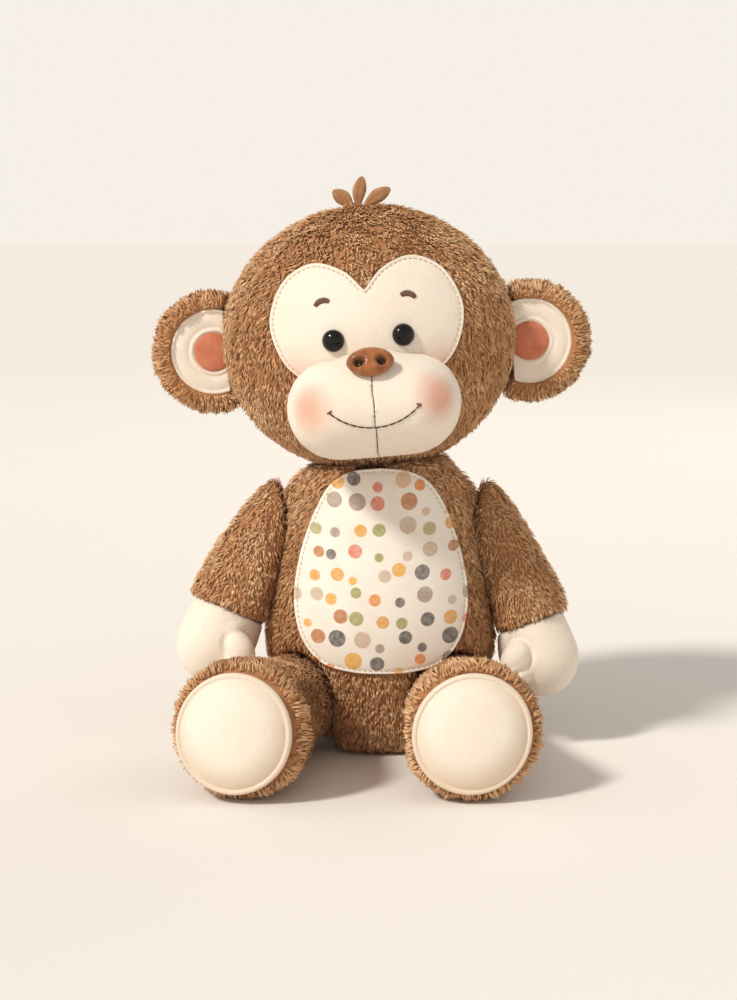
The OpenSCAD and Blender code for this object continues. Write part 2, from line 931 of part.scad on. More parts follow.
shoulder_lock_ring(RIGHT);  // shoulder_right_lock_ring
leg_cover(LEFT);  // leg_left_cover
leg_filling(LEFT);  // leg_left_filling
sole(LEFT);  // sole_left
hip_disc(LEFT);  // hip_left_disc
hip_lock_ring(LEFT);  // hip_left_lock_ring
leg_cover(RIGHT);  // leg_right_cover
leg_filling(RIGHT);  // leg_right_filling
sole(RIGHT);  // sole_right
hip_disc(RIGHT);  // hip_right_disc
hip_lock_ring(RIGHT);  // hip_right_lock_ring
tail_cover();
tail_filling();
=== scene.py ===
"""Looks of the jointed plush monkey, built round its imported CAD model.

The toy faces -Y. Left and right are as seen from the front, so left is -X.
Stuffed pieces start from the CAD solids, are remeshed and swollen by a cloth simulation,
and the brown ones then get a pile of small combed tufts as real geometry.
"""

import json
import math

import bmesh
import bpy
import numpy as np
from mathutils import Matrix, Vector
from mathutils.bvhtree import BVHTree
from mathutils.kdtree import KDTree


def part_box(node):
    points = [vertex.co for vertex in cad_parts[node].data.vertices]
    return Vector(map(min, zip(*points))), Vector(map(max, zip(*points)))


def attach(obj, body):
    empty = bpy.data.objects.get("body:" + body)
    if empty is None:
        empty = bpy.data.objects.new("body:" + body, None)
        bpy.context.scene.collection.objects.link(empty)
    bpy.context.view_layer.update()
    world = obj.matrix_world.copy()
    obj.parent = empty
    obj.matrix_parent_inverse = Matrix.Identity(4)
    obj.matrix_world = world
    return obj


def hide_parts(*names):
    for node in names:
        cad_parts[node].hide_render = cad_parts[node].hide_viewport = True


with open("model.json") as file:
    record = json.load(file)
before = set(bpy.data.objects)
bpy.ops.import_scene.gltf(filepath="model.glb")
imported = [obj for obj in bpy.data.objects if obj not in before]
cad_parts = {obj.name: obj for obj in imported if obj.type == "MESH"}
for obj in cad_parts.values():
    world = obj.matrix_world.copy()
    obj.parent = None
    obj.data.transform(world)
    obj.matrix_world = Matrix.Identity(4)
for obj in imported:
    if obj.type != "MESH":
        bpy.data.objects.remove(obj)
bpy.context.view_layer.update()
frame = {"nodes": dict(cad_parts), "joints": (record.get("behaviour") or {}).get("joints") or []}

MM = 0.001
LEFT, RIGHT = "left", "right"
SIGN = {LEFT: -1, RIGHT: 1}
UP = Vector((0, 0, 1))

# ---------- places taken from the frame ----------

JOINTS = {j["name"]: j for j in frame["joints"]}


def union_box(*nodes):
    boxes = [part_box(n) for n in nodes]
    low = Vector([min(b[0][i] for b in boxes) for i in range(3)])
    high = Vector([max(b[1][i] for b in boxes) for i in range(3)])
    return low, high


def middle(*nodes):
    low, high = union_box(*nodes)
    return (low + high) / 2


NECK_AXIS = Vector(JOINTS["neck_turn"]["axis"]).normalized()
HEAD_CENTRE = middle("head_front_panel", "head_back_panel")
HEAD_TURN = UP.rotation_difference(NECK_AXIS).to_matrix()
HEAD = Matrix.Translation(HEAD_CENTRE) @ HEAD_TURN.to_4x4()

# ---------- camera, floor and light ----------

CAMERA_TARGET = Vector((-6, 0, 120.4)) * MM
CAMERA_DISTANCE = 1.0
CAMERA_ELEVATION = math.radians(7.5)
LENS_MM = 72
FLOOR_COLOUR = (0.885, 0.845, 0.795)
HORIZON = (0.92, 0.868, 0.79, 1)
SKY = (0.44, 0.42, 0.40, 1)
SKY_FROM = 0.62
FLOOR_REACH = 60.0


def make_camera():
    data = bpy.data.cameras.new("camera")
    data.lens = LENS_MM
    camera = bpy.data.objects.new("camera", data)
    bpy.context.collection.objects.link(camera)
    back = Vector((0, -math.cos(CAMERA_ELEVATION), math.sin(CAMERA_ELEVATION)))
    camera.location = CAMERA_TARGET + back * CAMERA_DISTANCE
    camera.rotation_euler = (-back).to_track_quat("-Z", "Y").to_euler()
    bpy.context.scene.camera = camera


def area_light(name, place, aim, size, watts, colour):
    data = bpy.data.lights.new(name, "AREA")
    data.shape = "DISK"
    data.size = size
    data.energy = watts
    data.color = colour
    light = bpy.data.objects.new(name, data)
    bpy.context.collection.objects.link(light)
    light.location = place
    light.rotation_euler = (Vector(aim) - Vector(place)).to_track_quat("-Z", "Y").to_euler()


def make_world():
    """Even light that is brightest along the horizon, so the pale floor runs on into it."""
    world = bpy.data.worlds.new("studio")
    world.use_nodes = True
    tree = world.node_tree
    split = tree.nodes.new("ShaderNodeSeparateXYZ")
    blend = tree.nodes.new("ShaderNodeValToRGB")
    tree.links.new(tree.nodes.new("ShaderNodeTexCoord").outputs["Generated"], split.inputs["Vector"])
    tree.links.new(split.outputs["Z"], blend.inputs["Fac"])
    tree.links.new(blend.outputs["Color"], tree.nodes["Background"].inputs["Color"])
    for element, (at, colour) in zip(blend.color_ramp.elements, ((0.18, HORIZON), (SKY_FROM, SKY))):
        element.position = at
        element.color = colour
    bpy.context.scene.world = world


def make_studio():
    bpy.context.scene.view_settings.view_transform = "Standard"
    make_world()
    sun = bpy.data.lights.new("key", "SUN")
    sun.energy = 2.45
    sun.angle = math.radians(9)
    sun.color = (1.0, 0.955, 0.885)
    key = bpy.data.objects.new("key", sun)
    bpy.context.collection.objects.link(key)
    key.rotation_euler = Vector((-0.80, -0.66, 0.96)).to_track_quat("Z", "Y").to_euler()
    area_light("rim", (0.9, 1.6, 1.4), (0, -0.02, 0.13), 0.9, 4, (1.0, 0.96, 0.92))
    r = FLOOR_REACH
    floor = mesh_object("floor", [(-r, -r, 0), (r, -r, 0), (r, r, 0), (-r, r, 0)], [(0, 1, 2, 3)])
    floor.data.materials.append(floor_material())


# ---------- material building ----------


class Graph:
    """A node material with one Principled shader."""

    def __init__(self, name, roughness, sheen=0.0, sheen_tint=(1, 1, 1, 1), specular=0.3):
        self.material = bpy.data.materials.new(name)
        self.material.use_nodes = True
        self.tree = self.material.node_tree
        self.shader = self.tree.nodes["Principled BSDF"]
        self.put("Roughness", roughness)
        self.put("Sheen Weight", sheen)
        self.put("Sheen Tint", sheen_tint)
        self.put("Specular IOR Level", specular)

    def put(self, socket, value):
        self.shader.inputs[socket].default_value = value

    def node(self, kind, inputs=(), **settings):
        made = self.tree.nodes.new("ShaderNode" + kind)
        for key, value in settings.items():
            setattr(made, key, value)
        for key, value in dict(inputs).items():
            self.feed(made.inputs[key], value)
        return made

    def feed(self, socket, value):
        if isinstance(value, bpy.types.NodeSocket):
            self.tree.links.new(value, socket)
        else:
            socket.default_value = value

    def place(self):
        return self.node("TexCoord").outputs["Object"]

    def distance(self, centre):
        """How far each place on the surface is from the centre, in metres."""
        away = self.node("VectorMath", {0: self.place(), 1: centre}, operation="DISTANCE")
        return away.outputs["Value"]

    def attribute(self, name):
        return self.node("Attribute", attribute_name=name).outputs["Fac"]

    def noise(self, scale, detail=3.0, roughness=0.55, at=None):
        made = self.node("TexNoise", {"Scale": scale, "Detail": detail, "Roughness": roughness})
        self.feed(made.inputs["Vector"], at or self.place())
        return made.outputs["Fac"]

    def math(self, operation, a, b=0.0, clamp=False):
        made = self.node("Math", {0: a, 1: b}, operation=operation, use_clamp=clamp)
        return made.outputs["Value"]

    def spread(self, value, low, high, to_low=0.0, to_high=1.0, smooth=True):
        made = self.node(
            "MapRange",
            {"Value": value, "From Min": low, "From Max": high, "To Min": to_low, "To Max": to_high},
            interpolation_type="SMOOTHSTEP" if smooth else "LINEAR",
        )
        return made.outputs["Result"]

    def ramp(self, value, stops, mode="LINEAR"):
        made = self.node("ValToRGB", {"Fac": value})
        line = made.color_ramp
        line.interpolation = mode
        while len(line.elements) < len(stops):
            line.elements.new(1.0)
        for element, (at, colour) in zip(line.elements, stops):
            element.position = at
            element.color = (*colour, 1)
        return made.outputs["Color"]

    def mix(self, factor, a, b, blend="MIX"):
        made = self.node("Mix", data_type="RGBA", blend_type=blend)
        self.feed(made.inputs["Factor"], factor)
        for socket, value in ((made.inputs[6], a), (made.inputs[7], b)):
            self.feed(socket, value if isinstance(value, bpy.types.NodeSocket) else (*value, 1))
        return made.outputs[2]

    def colour(self, socket):
        self.tree.links.new(socket, self.shader.inputs["Base Color"])

    def rough(self, socket):
        self.tree.links.new(socket, self.shader.inputs["Roughness"])

    def bump(self, height, strength, distance):
        made = self.node("Bump", {"Height": height, "Strength": strength, "Distance": distance})
        self.tree.links.new(made.outputs["Normal"], self.shader.inputs["Normal"])


def floor_material():
    g = Graph("floor", 0.85, specular=0.2)
    g.colour(g.mix(g.noise(9, 2), FLOOR_COLOUR, tuple(c * 0.985 for c in FLOOR_COLOUR)))
    return g.material


BROWN_ROOT = (0.38, 0.168, 0.070)
BROWN_DEEP = (0.49, 0.228, 0.097)
BROWN = (0.67, 0.350, 0.160)
BROWN_LIGHT = (0.83, 0.515, 0.275)
BROWN_GOLD = (0.93, 0.68, 0.41)


def plush_material():
    """Pile that is dark at its roots, with tufts from deep brown to gold and broad lighter areas."""
    g = Graph("brown_plush", 0.86, sheen=0.35, sheen_tint=(1.0, 0.82, 0.62, 1), specular=0.18)
    tint = g.attribute("tint")
    broad = g.noise(24, 2)
    value = g.math("ADD", g.math("MULTIPLY", tint, 0.66), g.spread(broad, 0.32, 0.7, 0.0, 0.36), True)
    body = g.ramp(value, [(0.08, BROWN_DEEP), (0.4, BROWN), (0.72, BROWN_LIGHT), (1.0, BROWN_GOLD)])
    g.colour(g.mix(g.spread(g.attribute("tip"), 0.0, 0.45), BROWN_ROOT, body))
    g.bump(g.noise(1800, 2), 0.35, 0.0004)
    return g.material


CREAM = (0.86, 0.745, 0.615)
CREAM_SHADE = (0.72, 0.57, 0.43)
CREAM_LIGHT = (0.90, 0.82, 0.715)
BLUSH = (0.76, 0.315, 0.21)
# Tan of the painted shade on the soles
SOLE_PAINTED_SHADE = (0.66, 0.475, 0.32)


def cream_body(g):
    """Colour of short-nap cream cloth: faint mottling and a fine fibre grain."""
    broad = g.spread(g.noise(38, 3), 0.35, 0.7)
    grain = g.spread(g.noise(1500, 2), 0.3, 0.75)
    base = g.mix(g.math("MULTIPLY", broad, 0.55), CREAM_LIGHT, CREAM)
    return g.mix(g.math("MULTIPLY", grain, 0.28), base, CREAM_SHADE)


def cream_bump(g):
    """Nap: fine fibres over a very shallow woven backing."""
    fibres = g.noise(2300, 4, 0.7)
    felt = g.noise(520, 3, 0.6)
    g.bump(g.math("ADD", fibres, g.math("MULTIPLY", felt, 0.9)), 0.45, 0.0005)


def cream_graph(name):
    return Graph(name, 0.88, sheen=0.3, sheen_tint=(1, 0.94, 0.86, 1), specular=0.2)


def cream_material(name="cream_nap"):
    g = cream_graph(name)
    g.colour(cream_body(g))
    cream_bump(g)
    return g.material


def shaded_sole_material(name, centre, reach):
    """Cream nap with painted shade that turns it tan away from a lit centre, towards the sewn rim of a sole.
    """
    g = cream_graph(name)
    # Painted shade: how far this place is from the lit point, which sets how tan the nap turns
    rim = g.spread(g.distance(centre), reach * 0.5, reach)
    g.colour(g.mix(g.math("MULTIPLY", rim, 0.5), cream_body(g), SOLE_PAINTED_SHADE))
    cream_bump(g)
    return g.material


def blush_material(name, centres, radius, soft, strength):
    """Cream nap with round blushes airbrushed on at the centres."""
    g = cream_graph(name)
    colour = cream_body(g)
    for centre in centres:
        wobble = g.math("MULTIPLY", g.noise(160, 3), 0.004)
        gap = g.math("ADD", g.distance(centre), wobble)
        amount = g.spread(gap, radius + soft, radius - soft, 0.0, strength)
        colour = g.mix(amount, colour, BLUSH)
    g.colour(colour)
    cream_bump(g)
    return g.material


DOT_PALETTE = [
    (0.78, 0.27, 0.045), (0.82, 0.42, 0.07), (0.16, 0.14, 0.13), (0.72, 0.24, 0.17),
    (0.36, 0.35, 0.13), (0.40, 0.31, 0.25), (0.76, 0.50, 0.34), (0.13, 0.115, 0.105),
    (0.74, 0.37, 0.08), (0.44, 0.42, 0.19), (0.60, 0.46, 0.34), (0.52, 0.215, 0.07),
]
DOT_SPACING = 10.6 * MM
PRINT_START = np.array((31.3, 12.7))


def cotton_material():
    """Plain-weave cotton printed with round dots, one to each cell of a loose grid."""
    g = Graph("dotted_cotton", 0.8, sheen=0.15, specular=0.25)
    cloth = g.node("UVMap", uv_map="cloth").outputs["UV"]
    cells = {}
    for feature in ("F1", "N_SPHERE_RADIUS"):
        made = g.node("TexVoronoi", {"Scale": 1.0, "Randomness": 0.55}, feature=feature)
        made.voronoi_dimensions = "2D"
        g.feed(made.inputs["Vector"], cloth)
        cells[feature] = made
    near = cells["F1"].outputs["Distance"]
    room = cells["N_SPHERE_RADIUS"].outputs["Radius"]
    pick = g.node("SeparateColor")
    g.feed(pick.inputs["Color"], cells["F1"].outputs["Color"])
    wanted = g.spread(pick.outputs["Green"], 0.0, 1.0, 0.19, 0.43, smooth=False)
    radius = g.math("MINIMUM", wanted, g.math("MULTIPLY", room, 0.93))
    edge = g.math("SUBTRACT", radius, near)
    inked = g.spread(edge, -0.012, 0.03)
    stops = [(i / len(DOT_PALETTE), c) for i, c in enumerate(DOT_PALETTE)]
    ink = g.ramp(pick.outputs["Red"], stops, "CONSTANT")
    wash = g.spread(g.noise(420, 3), 0.3, 0.75, 0.78, 1.0)
    base = g.mix(g.spread(g.noise(60, 2), 0.35, 0.7), (0.90, 0.84, 0.755), (0.86, 0.78, 0.68))
    g.colour(g.mix(g.math("MULTIPLY", inked, wash), base, ink))
    threads = g.node("TexWave", {"Scale": 17.0, "Distortion": 0.4}, bands_direction="X")
    across = g.node("TexWave", {"Scale": 17.0, "Distortion": 0.4}, bands_direction="Y")
    for wave in (threads, across):
        g.feed(wave.inputs["Vector"], cloth)
    g.bump(g.math("MULTIPLY", threads.outputs["Fac"], across.outputs["Fac"]), 0.35, 0.0002)
    return g.material


def felt_material(name, colour, shade):
    g = Graph(name, 0.92, sheen=0.3, specular=0.15)
    mottled = g.mix(g.spread(g.noise(170, 4, 0.65), 0.3, 0.72), colour, shade)
    g.colour(g.mix(g.spread(g.noise(1900, 2), 0.45, 0.8, 0.0, 0.35), mottled, shade))
    g.bump(g.math("ADD", g.noise(900, 4, 0.7), g.noise(2600, 2)), 0.5, 0.0004)
    return g.material


def thread_material(name, colour):
    g = Graph(name, 0.6, sheen=0.25, specular=0.35)
    lighter = tuple(min(1, c * 1.35 + 0.02) for c in colour)
    g.colour(g.mix(g.spread(g.noise(2200, 2), 0.35, 0.7), colour, lighter))
    g.bump(g.noise(3600, 2), 0.3, 0.0002)
    return g.material


def gloss_material(name, colour, deep, roughness, coat, coat_ior=1.5, hollow=None):
    """Glossy surface; where the attribute "hollow" is 1 it takes the hollow colour, a painted shade for a
    recess.
    """
    g = Graph(name, roughness, specular=0.1)
    g.put("Coat Weight", coat)
    g.put("Coat Roughness", 0.07)
    g.put("Coat IOR", coat_ior)
    shade = g.mix(g.spread(g.noise(210, 2), 0.35, 0.7), colour, deep)
    if hollow:
        shade = g.mix(g.attribute("hollow"), shade, hollow)
    g.colour(shade)
    g.rough(g.spread(g.noise(900, 3), 0.3, 0.8, roughness, roughness + 0.08))
    return g.material


def plastic_material(name, colour):
    g = Graph(name, 0.5, specular=0.4)
    g.colour(g.mix(g.spread(g.noise(120, 3), 0.3, 0.7), colour, tuple(c * 0.93 for c in colour)))
    g.bump(g.noise(1500, 2), 0.1, 0.0002)
    return g.material


def fibre_material():
    g = Graph("fibre_fill", 0.95, sheen=0.4, specular=0.1)
    g.colour(g.mix(g.spread(g.noise(300, 5, 0.7), 0.35, 0.65), (0.93, 0.93, 0.91), (0.74, 0.74, 0.73)))
    g.bump(g.noise(650, 5, 0.75), 0.8, 0.001)
    return g.material


# ---------- mesh building ----------


def bands(rows, around, first=0):
    """Four-sided faces that join each ring of vertices to the next, from vertex `first` on."""
    faces = []
    for i in range(rows - 1):
        a, b = first + i * around, first + (i + 1) * around
        faces += [(a + k, a + (k + 1) % around, b + (k + 1) % around, b + k) for k in range(around)]
    return faces


def fan(ring, around, tip):
    """Triangles that close the ring of vertices starting at `ring` onto the vertex `tip`."""
    return [(ring + k, ring + (k + 1) % around, tip) for k in range(around)]


def ends_of(rows, around):
    """The two flat faces that close a tube of rings."""
    last = (rows - 1) * around
    return [tuple(reversed(range(around))), tuple(last + k for k in range(around))]


def mesh_object(name, vertices, faces, material=None, smooth=True):
    mesh = bpy.data.meshes.new(name)
    mesh.from_pydata([tuple(v) for v in vertices], [], [tuple(f) for f in faces])
    mesh.validate()
    mesh.update()
    return linked(name, mesh, material, smooth)


def shade_smooth(mesh, smooth=True):
    mesh.polygons.foreach_set("use_smooth", [smooth] * len(mesh.polygons))


def linked(name, mesh, material=None, smooth=True):
    made = bpy.data.objects.new(name, mesh)
    bpy.context.collection.objects.link(made)
    shade_smooth(mesh, smooth)
    if material:
        mesh.materials.append(material)
    return made


def vertex_values(mesh, key):
    flat = np.empty(len(mesh.vertices) * 3, np.float32)
    mesh.vertices.foreach_get(key, flat)
    return flat.reshape(-1, 3).astype(float)


def points_of(mesh):
    return vertex_values(mesh, "co")


def normals_of(mesh):
    return vertex_values(mesh, "normal")


def set_points(mesh, points):
    mesh.vertices.foreach_set("co", np.asarray(points, np.float32).ravel())
    mesh.update()


def applied(obj):
    """Gives the object its evaluated mesh and drops its modifiers."""
    graph = bpy.context.evaluated_depsgraph_get()
    mesh = bpy.data.meshes.new_from_object(obj.evaluated_get(graph), depsgraph=graph)
    obj.modifiers.clear()
    old = obj.data
    obj.data = mesh
    bpy.data.meshes.remove(old)
    return obj


def solid_of(name, nodes, voxel, plugs=(), rounds=4):
    """One closed skin round the CAD nodes: their copied meshes and the plugs that fill their stem
    holes, voxel remeshed and relaxed."""
    parts = list(plugs)
    for node in nodes:
        mesh = frame["nodes"][node].data
        parts.append(([v.co[:] for v in mesh.vertices], [tuple(p.vertices) for p in mesh.polygons]))
    made = mesh_object(name, *merged(parts))
    remesh = made.modifiers.new("remesh", "REMESH")
    remesh.mode = "VOXEL"
    remesh.voxel_size = voxel
    relax = made.modifiers.new("relax", "SMOOTH")
    relax.factor = 0.5
    relax.iterations = rounds
    return keep_outside(applied(made))


def keep_outside(obj):
    """Drops closed shells that lie inside the largest one."""
    mesh = obj.data
    points = points_of(mesh)
    label = np.arange(len(points))
    edges = np.empty(len(mesh.edges) * 2, np.int32)
    mesh.edges.foreach_get("vertices", edges)
    a, b = edges.reshape(-1, 2).T
    while True:
        low = np.minimum(label[a], label[b])
        new = label.copy()
        np.minimum.at(new, a, low)
        np.minimum.at(new, b, low)
        new = new[new]
        if (new == label).all():
            break
        label = new
    names = np.unique(label)
    if len(names) == 1:
        return obj
    spans = [np.ptp(points[label == n], axis=0).sum() for n in names]
    best = names[int(np.argmax(spans))]
    keep = label == best
    index = np.cumsum(keep) - 1
    faces = [tuple(index[list(p.vertices)]) for p in mesh.polygons if keep[p.vertices[0]]]
    made = mesh_object(obj.name + "_outside", points[keep], faces)
    old = obj.data
    obj.data = made.data
    bpy.data.objects.remove(made)
    bpy.data.meshes.remove(old)
    return obj


SWELL_FRAMES = 20


def swell(obj, inset, cap, pinned=None, pressure=4.0):
    """Shrinks the skin by inset, then lets cloth under pressure swell it by up to cap.
    pinned says, for a vertex's place, whether a seam holds it."""
    mesh = obj.data
    start = points_of(mesh) - normals_of(mesh) * inset
    set_points(mesh, start)
    held = obj.vertex_groups.new(name="held")
    if pinned:
        held.add([i for i, p in enumerate(start) if pinned(p)], 1.0, "REPLACE")
    cloth = obj.modifiers.new("cloth", "CLOTH")
    settings = cloth.settings
    settings.quality = 4
    settings.mass = 0.1
    settings.tension_stiffness = 8
    settings.compression_stiffness = 8
    settings.shear_stiffness = 4
    settings.bending_stiffness = 0.3
    settings.use_pressure = True
    settings.uniform_pressure_force = pressure
    settings.vertex_group_mass = "held"
    settings.effector_weights.gravity = 0
    cloth.collision_settings.use_collision = False
    cloth.point_cache.frame_start = 1
    cloth.point_cache.frame_end = SWELL_FRAMES
    scene = bpy.context.scene
    for step in range(1, SWELL_FRAMES + 1):
        scene.frame_set(step)
    graph = bpy.context.evaluated_depsgraph_get()
    shaped = obj.evaluated_get(graph)
    flat = np.empty(len(mesh.vertices) * 3, np.float32)
    shaped.data.vertices.foreach_get("co", flat)
    moved = flat.reshape(-1, 3) - start
    far = np.linalg.norm(moved, axis=1, keepdims=True)
    moved *= np.minimum(1.0, cap / np.maximum(far, 1e-9))
    obj.modifiers.clear()
    obj.vertex_groups.clear()
    scene.frame_set(1)
    set_points(mesh, start + moved)
    relax = obj.modifiers.new("relax", "SMOOTH")
    relax.factor = 0.4
    relax.iterations = 2
    finer = obj.modifiers.new("finer", "SUBSURF")
    finer.levels = 1
    return applied(obj)


def tree_of(*objects):
    """One search tree over the objects' triangles."""
    vertices, faces = [], []
    for o in objects:
        start = len(vertices)
        vertices += [v.co.copy() for v in o.data.vertices]
        faces += [tuple(start + i for i in p.vertices) for p in o.data.polygons]
    return BVHTree.FromPolygons(vertices, faces)


def unit(v):
    return v / np.maximum(np.linalg.norm(v, axis=-1, keepdims=True), 1e-12)


# ---------- pile ----------

TUFT_RING = 3
# The least share of its length that a tuft keeps beside a neighbour, and where one swings past
BESIDE, PASSING = 0.7, 0.38
# One tuft's triangles over its seven points: root ring 0-2, bend ring 3-5, tip 6
TUFT = [(0, 2, 1), (3, 4, 6), (4, 5, 6), (5, 3, 6)]
for near in range(TUFT_RING):
    onward = (near + 1) % TUFT_RING
    TUFT += [(near, onward, onward + TUFT_RING), (near, onward + TUFT_RING, near + TUFT_RING)]
# Where each triangle's corners lie in the tuft's own square of the bake layout
TUFT_UV = [[(0.0, 0.0), (0.1, 0.0), (0.0, 0.1)]]
TUFT_UV += [[(k / 3, 0.55), ((k + 1) / 3, 0.55), ((k + 0.5) / 3, 1.0)] for k in range(3)]
for k in range(3):
    TUFT_UV += [[(k / 3, 0.12), ((k + 1) / 3, 0.12), ((k + 1) / 3, 0.5)],
                [(k / 3, 0.12), ((k + 1) / 3, 0.5), (k / 3, 0.5)]]


def bake_layout(mesh, skin_sizes, tuft_count):
    """A UV layer for baking, with a small square for each face of the skin and for each tuft."""
    squares = len(skin_sizes) + tuft_count
    per_row = math.ceil(math.sqrt(squares))
    cell = 1 / per_row
    spots = np.stack(np.divmod(np.arange(squares), per_row)[::-1], 1) * cell
    uv = np.empty((len(mesh.loops), 2), np.float32)
    at = 0
    for spot, size in zip(spots, skin_sizes):
        for k in range(size):
            w = 2 * math.pi * (k + 0.5) / size
            uv[at] = spot + cell * (0.5 + 0.42 * np.array([math.cos(w), math.sin(w)]))
            at += 1
    pattern = np.array(TUFT_UV).reshape(-1, 2) * 0.84 + 0.08
    uv[at:] = (spots[len(skin_sizes):, None] + pattern[None] * cell).reshape(-1, 2)
    layer = mesh.uv_layers.new(name="OFBake")
    layer.data.foreach_set("uv", uv.ravel())


class Pile:
    """How one piece's tufts stand: density per square metre, length and thickness in metres,
    lift in degrees at root and tip, and the way they are combed."""

    def __init__(self, comb, density=0.74e6, length=4.3 * MM, half_w=0.44 * MM, lift=(50, 18),
                 clump=10, keep=None, scale=None):
        self.comb = comb
        self.density = density
        self.length = length
        self.half_w = half_w
        self.lift = lift
        self.clump = clump
        self.keep = keep
        self.scale = scale


def roots_on(mesh, density, rng):
    """Evenly spread random places on the mesh, with their normals."""
    mesh.calc_loop_triangles()
    corners = np.empty(len(mesh.loop_triangles) * 3, np.int32)
    mesh.loop_triangles.foreach_get("vertices", corners)
    corners = corners.reshape(-1, 3)
    points, normals = points_of(mesh), normals_of(mesh)
    a, b, c = (points[corners[:, i]] for i in range(3))
    area = np.linalg.norm(np.cross(b - a, c - a), axis=1) / 2
    count = int(area.sum() * density)
    pick = rng.choice(len(corners), count, p=area / area.sum())
    u, v = rng.random((2, count, 1))
    flip = u + v > 1
    u, v = np.where(flip, 1 - u, u), np.where(flip, 1 - v, v)
    place = a[pick] + u * (b[pick] - a[pick]) + v * (c[pick] - a[pick])
    na, nb, nc = (normals[corners[pick, i]] for i in range(3))
    return place, unit(na + u * (nb - na) + v * (nc - na))


def crowding(place, trees, least, near=0.4 * MM, far=3.2 * MM):
    """How much of its length a tuft keeps beside the neighbouring pieces, from `least` to 1,
    or 0 inside them."""
    share = np.ones(len(place))
    for tree in trees:
        for i, p in enumerate(place):
            hit, normal, _, gap = tree.find_nearest(p, far)
            if hit is None:
                continue
            if (Vector(p) - hit).dot(normal) < 0:
                share[i] = 0.0 if gap > 0.8 * MM else min(share[i], least)
            else:
                share[i] = min(share[i], max(least, (gap - near) / (far - near)))
    return share


def tufts(mesh, pile, seed, others, passing):
    """Vertices, triangles, tip and tint values of the pile on a mesh. others are its neighbours,
    and passing the ones that move by when a joint turns."""
    rng = np.random.default_rng(seed)
    place, normal = roots_on(mesh, pile.density, rng)
    swept = np.maximum(crowding(place, passing, PASSING), PASSING)
    room = np.minimum(crowding(place, others, BESIDE), swept)
    chosen = room > 0
    if pile.keep is not None:
        chosen &= pile.keep(place, normal)
    place, normal, room = place[chosen], normal[chosen], room[chosen]
    count = len(place)
    centres = place[:: pile.clump]
    tree = KDTree(len(centres))
    for i, p in enumerate(centres):
        tree.insert(p, i)
    tree.balance()
    member = np.array([tree.find(p)[1] for p in place])
    groups = len(centres)
    clump_tint, clump_turn = rng.random(groups), rng.normal(0, 0.26, groups)
    clump_length, clump_lift = rng.uniform(0.85, 1.12, groups), rng.normal(0, 0.10, groups)

    along = pile.comb(place, normal)
    along = unit(along - normal * (along * normal).sum(1, keepdims=True))
    across = np.cross(normal, along)
    turn = (clump_turn[member] + rng.normal(0, 0.16, count))[:, None]
    heading = along * np.cos(turn) + across * np.sin(turn)
    side = np.cross(normal, heading)

    length = pile.length * clump_length[member] * rng.uniform(0.8, 1.15, count)
    length *= room
    if pile.scale is not None:
        length *= pile.scale(place)
    length = length[:, None]
    lift = clump_lift[member] + rng.normal(0, 0.08, count)
    root_lift = (math.radians(pile.lift[0]) + lift)[:, None]
    tip_lift = (math.radians(pile.lift[1]) + lift)[:, None]
    root = place - normal * 0.5 * MM
    bend = root + length * 0.5 * (normal * np.sin(root_lift) + heading * np.cos(root_lift))
    tip = bend + length * 0.5 * (normal * np.sin(tip_lift) + heading * np.cos(tip_lift))
    gather = centres[member] + (tip - place)
    tip += 0.28 * (gather - tip) * rng.uniform(0.3, 1, (count, 1))
    for ring in (root, bend, tip):
        ring[:, 2] = np.maximum(ring[:, 2], 0.15 * MM)

    half = pile.half_w * rng.uniform(0.75, 1.25, (count, 1)) * np.clip(length / pile.length, 0.5, 1.2)
    thick = half * 0.75
    rings = []
    for spot, share in ((root, 1.0), (bend, 0.92)):
        rings += [spot - side * half * share, spot + side * half * share, spot + normal * thick * share]
    vertices = np.stack([*rings, tip], axis=1)
    vertices[:, :, 2] = np.maximum(vertices[:, :, 2], 0.05 * MM)
    triangles = np.arange(count)[:, None, None] * 7 + np.array(TUFT)[None]
    tip_value = np.tile([0.0, 0.0, 0.0, 0.55, 0.55, 0.55, 1.0], (count, 1))
    tint = 0.62 * clump_tint[member] + 0.38 * rng.random(count)
    return vertices.reshape(-1, 3), triangles.reshape(-1, 3), tip_value.ravel(), np.repeat(tint, 7)


def furred(name, skin, pile, seed, material, others=(), passing=()):
    """A piece made of the skin and its pile, in one mesh."""
    mesh = skin.data
    points = points_of(mesh)
    faces = [tuple(p.vertices) for p in mesh.polygons]
    vertices, triangles, tips, tints = tufts(mesh, pile, seed, others, passing)
    base = len(points)
    loops = np.concatenate([np.concatenate([np.array(f) for f in faces]), (triangles + base).ravel()])
    sizes = np.array([len(f) for f in faces] + [3] * len(triangles))
    starts = np.concatenate([[0], np.cumsum(sizes)[:-1]])
    made = bpy.data.meshes.new(name)
    made.vertices.add(base + len(vertices))
    made.loops.add(len(loops))
    made.polygons.add(len(sizes))
    made.vertices.foreach_set("co", np.concatenate([points, vertices]).astype(np.float32).ravel())
    made.loops.foreach_set("vertex_index", loops.astype(np.int32))
    made.polygons.foreach_set("loop_start", starts.astype(np.int32))
    made.update(calc_edges=True)
    for key, skin_value, values in (("tip", 0.12, tips), ("tint", 0.3, tints)):
        layer = made.attributes.new(key, "FLOAT", "POINT")
        all_values = np.concatenate([np.full(base, skin_value), values])
        layer.data.foreach_set("value", all_values.astype(np.float32))
    bake_layout(made, sizes[:-len(triangles)], len(triangles) // len(TUFT_UV))
    return linked(name, made, material)


# ---------- threads ----------


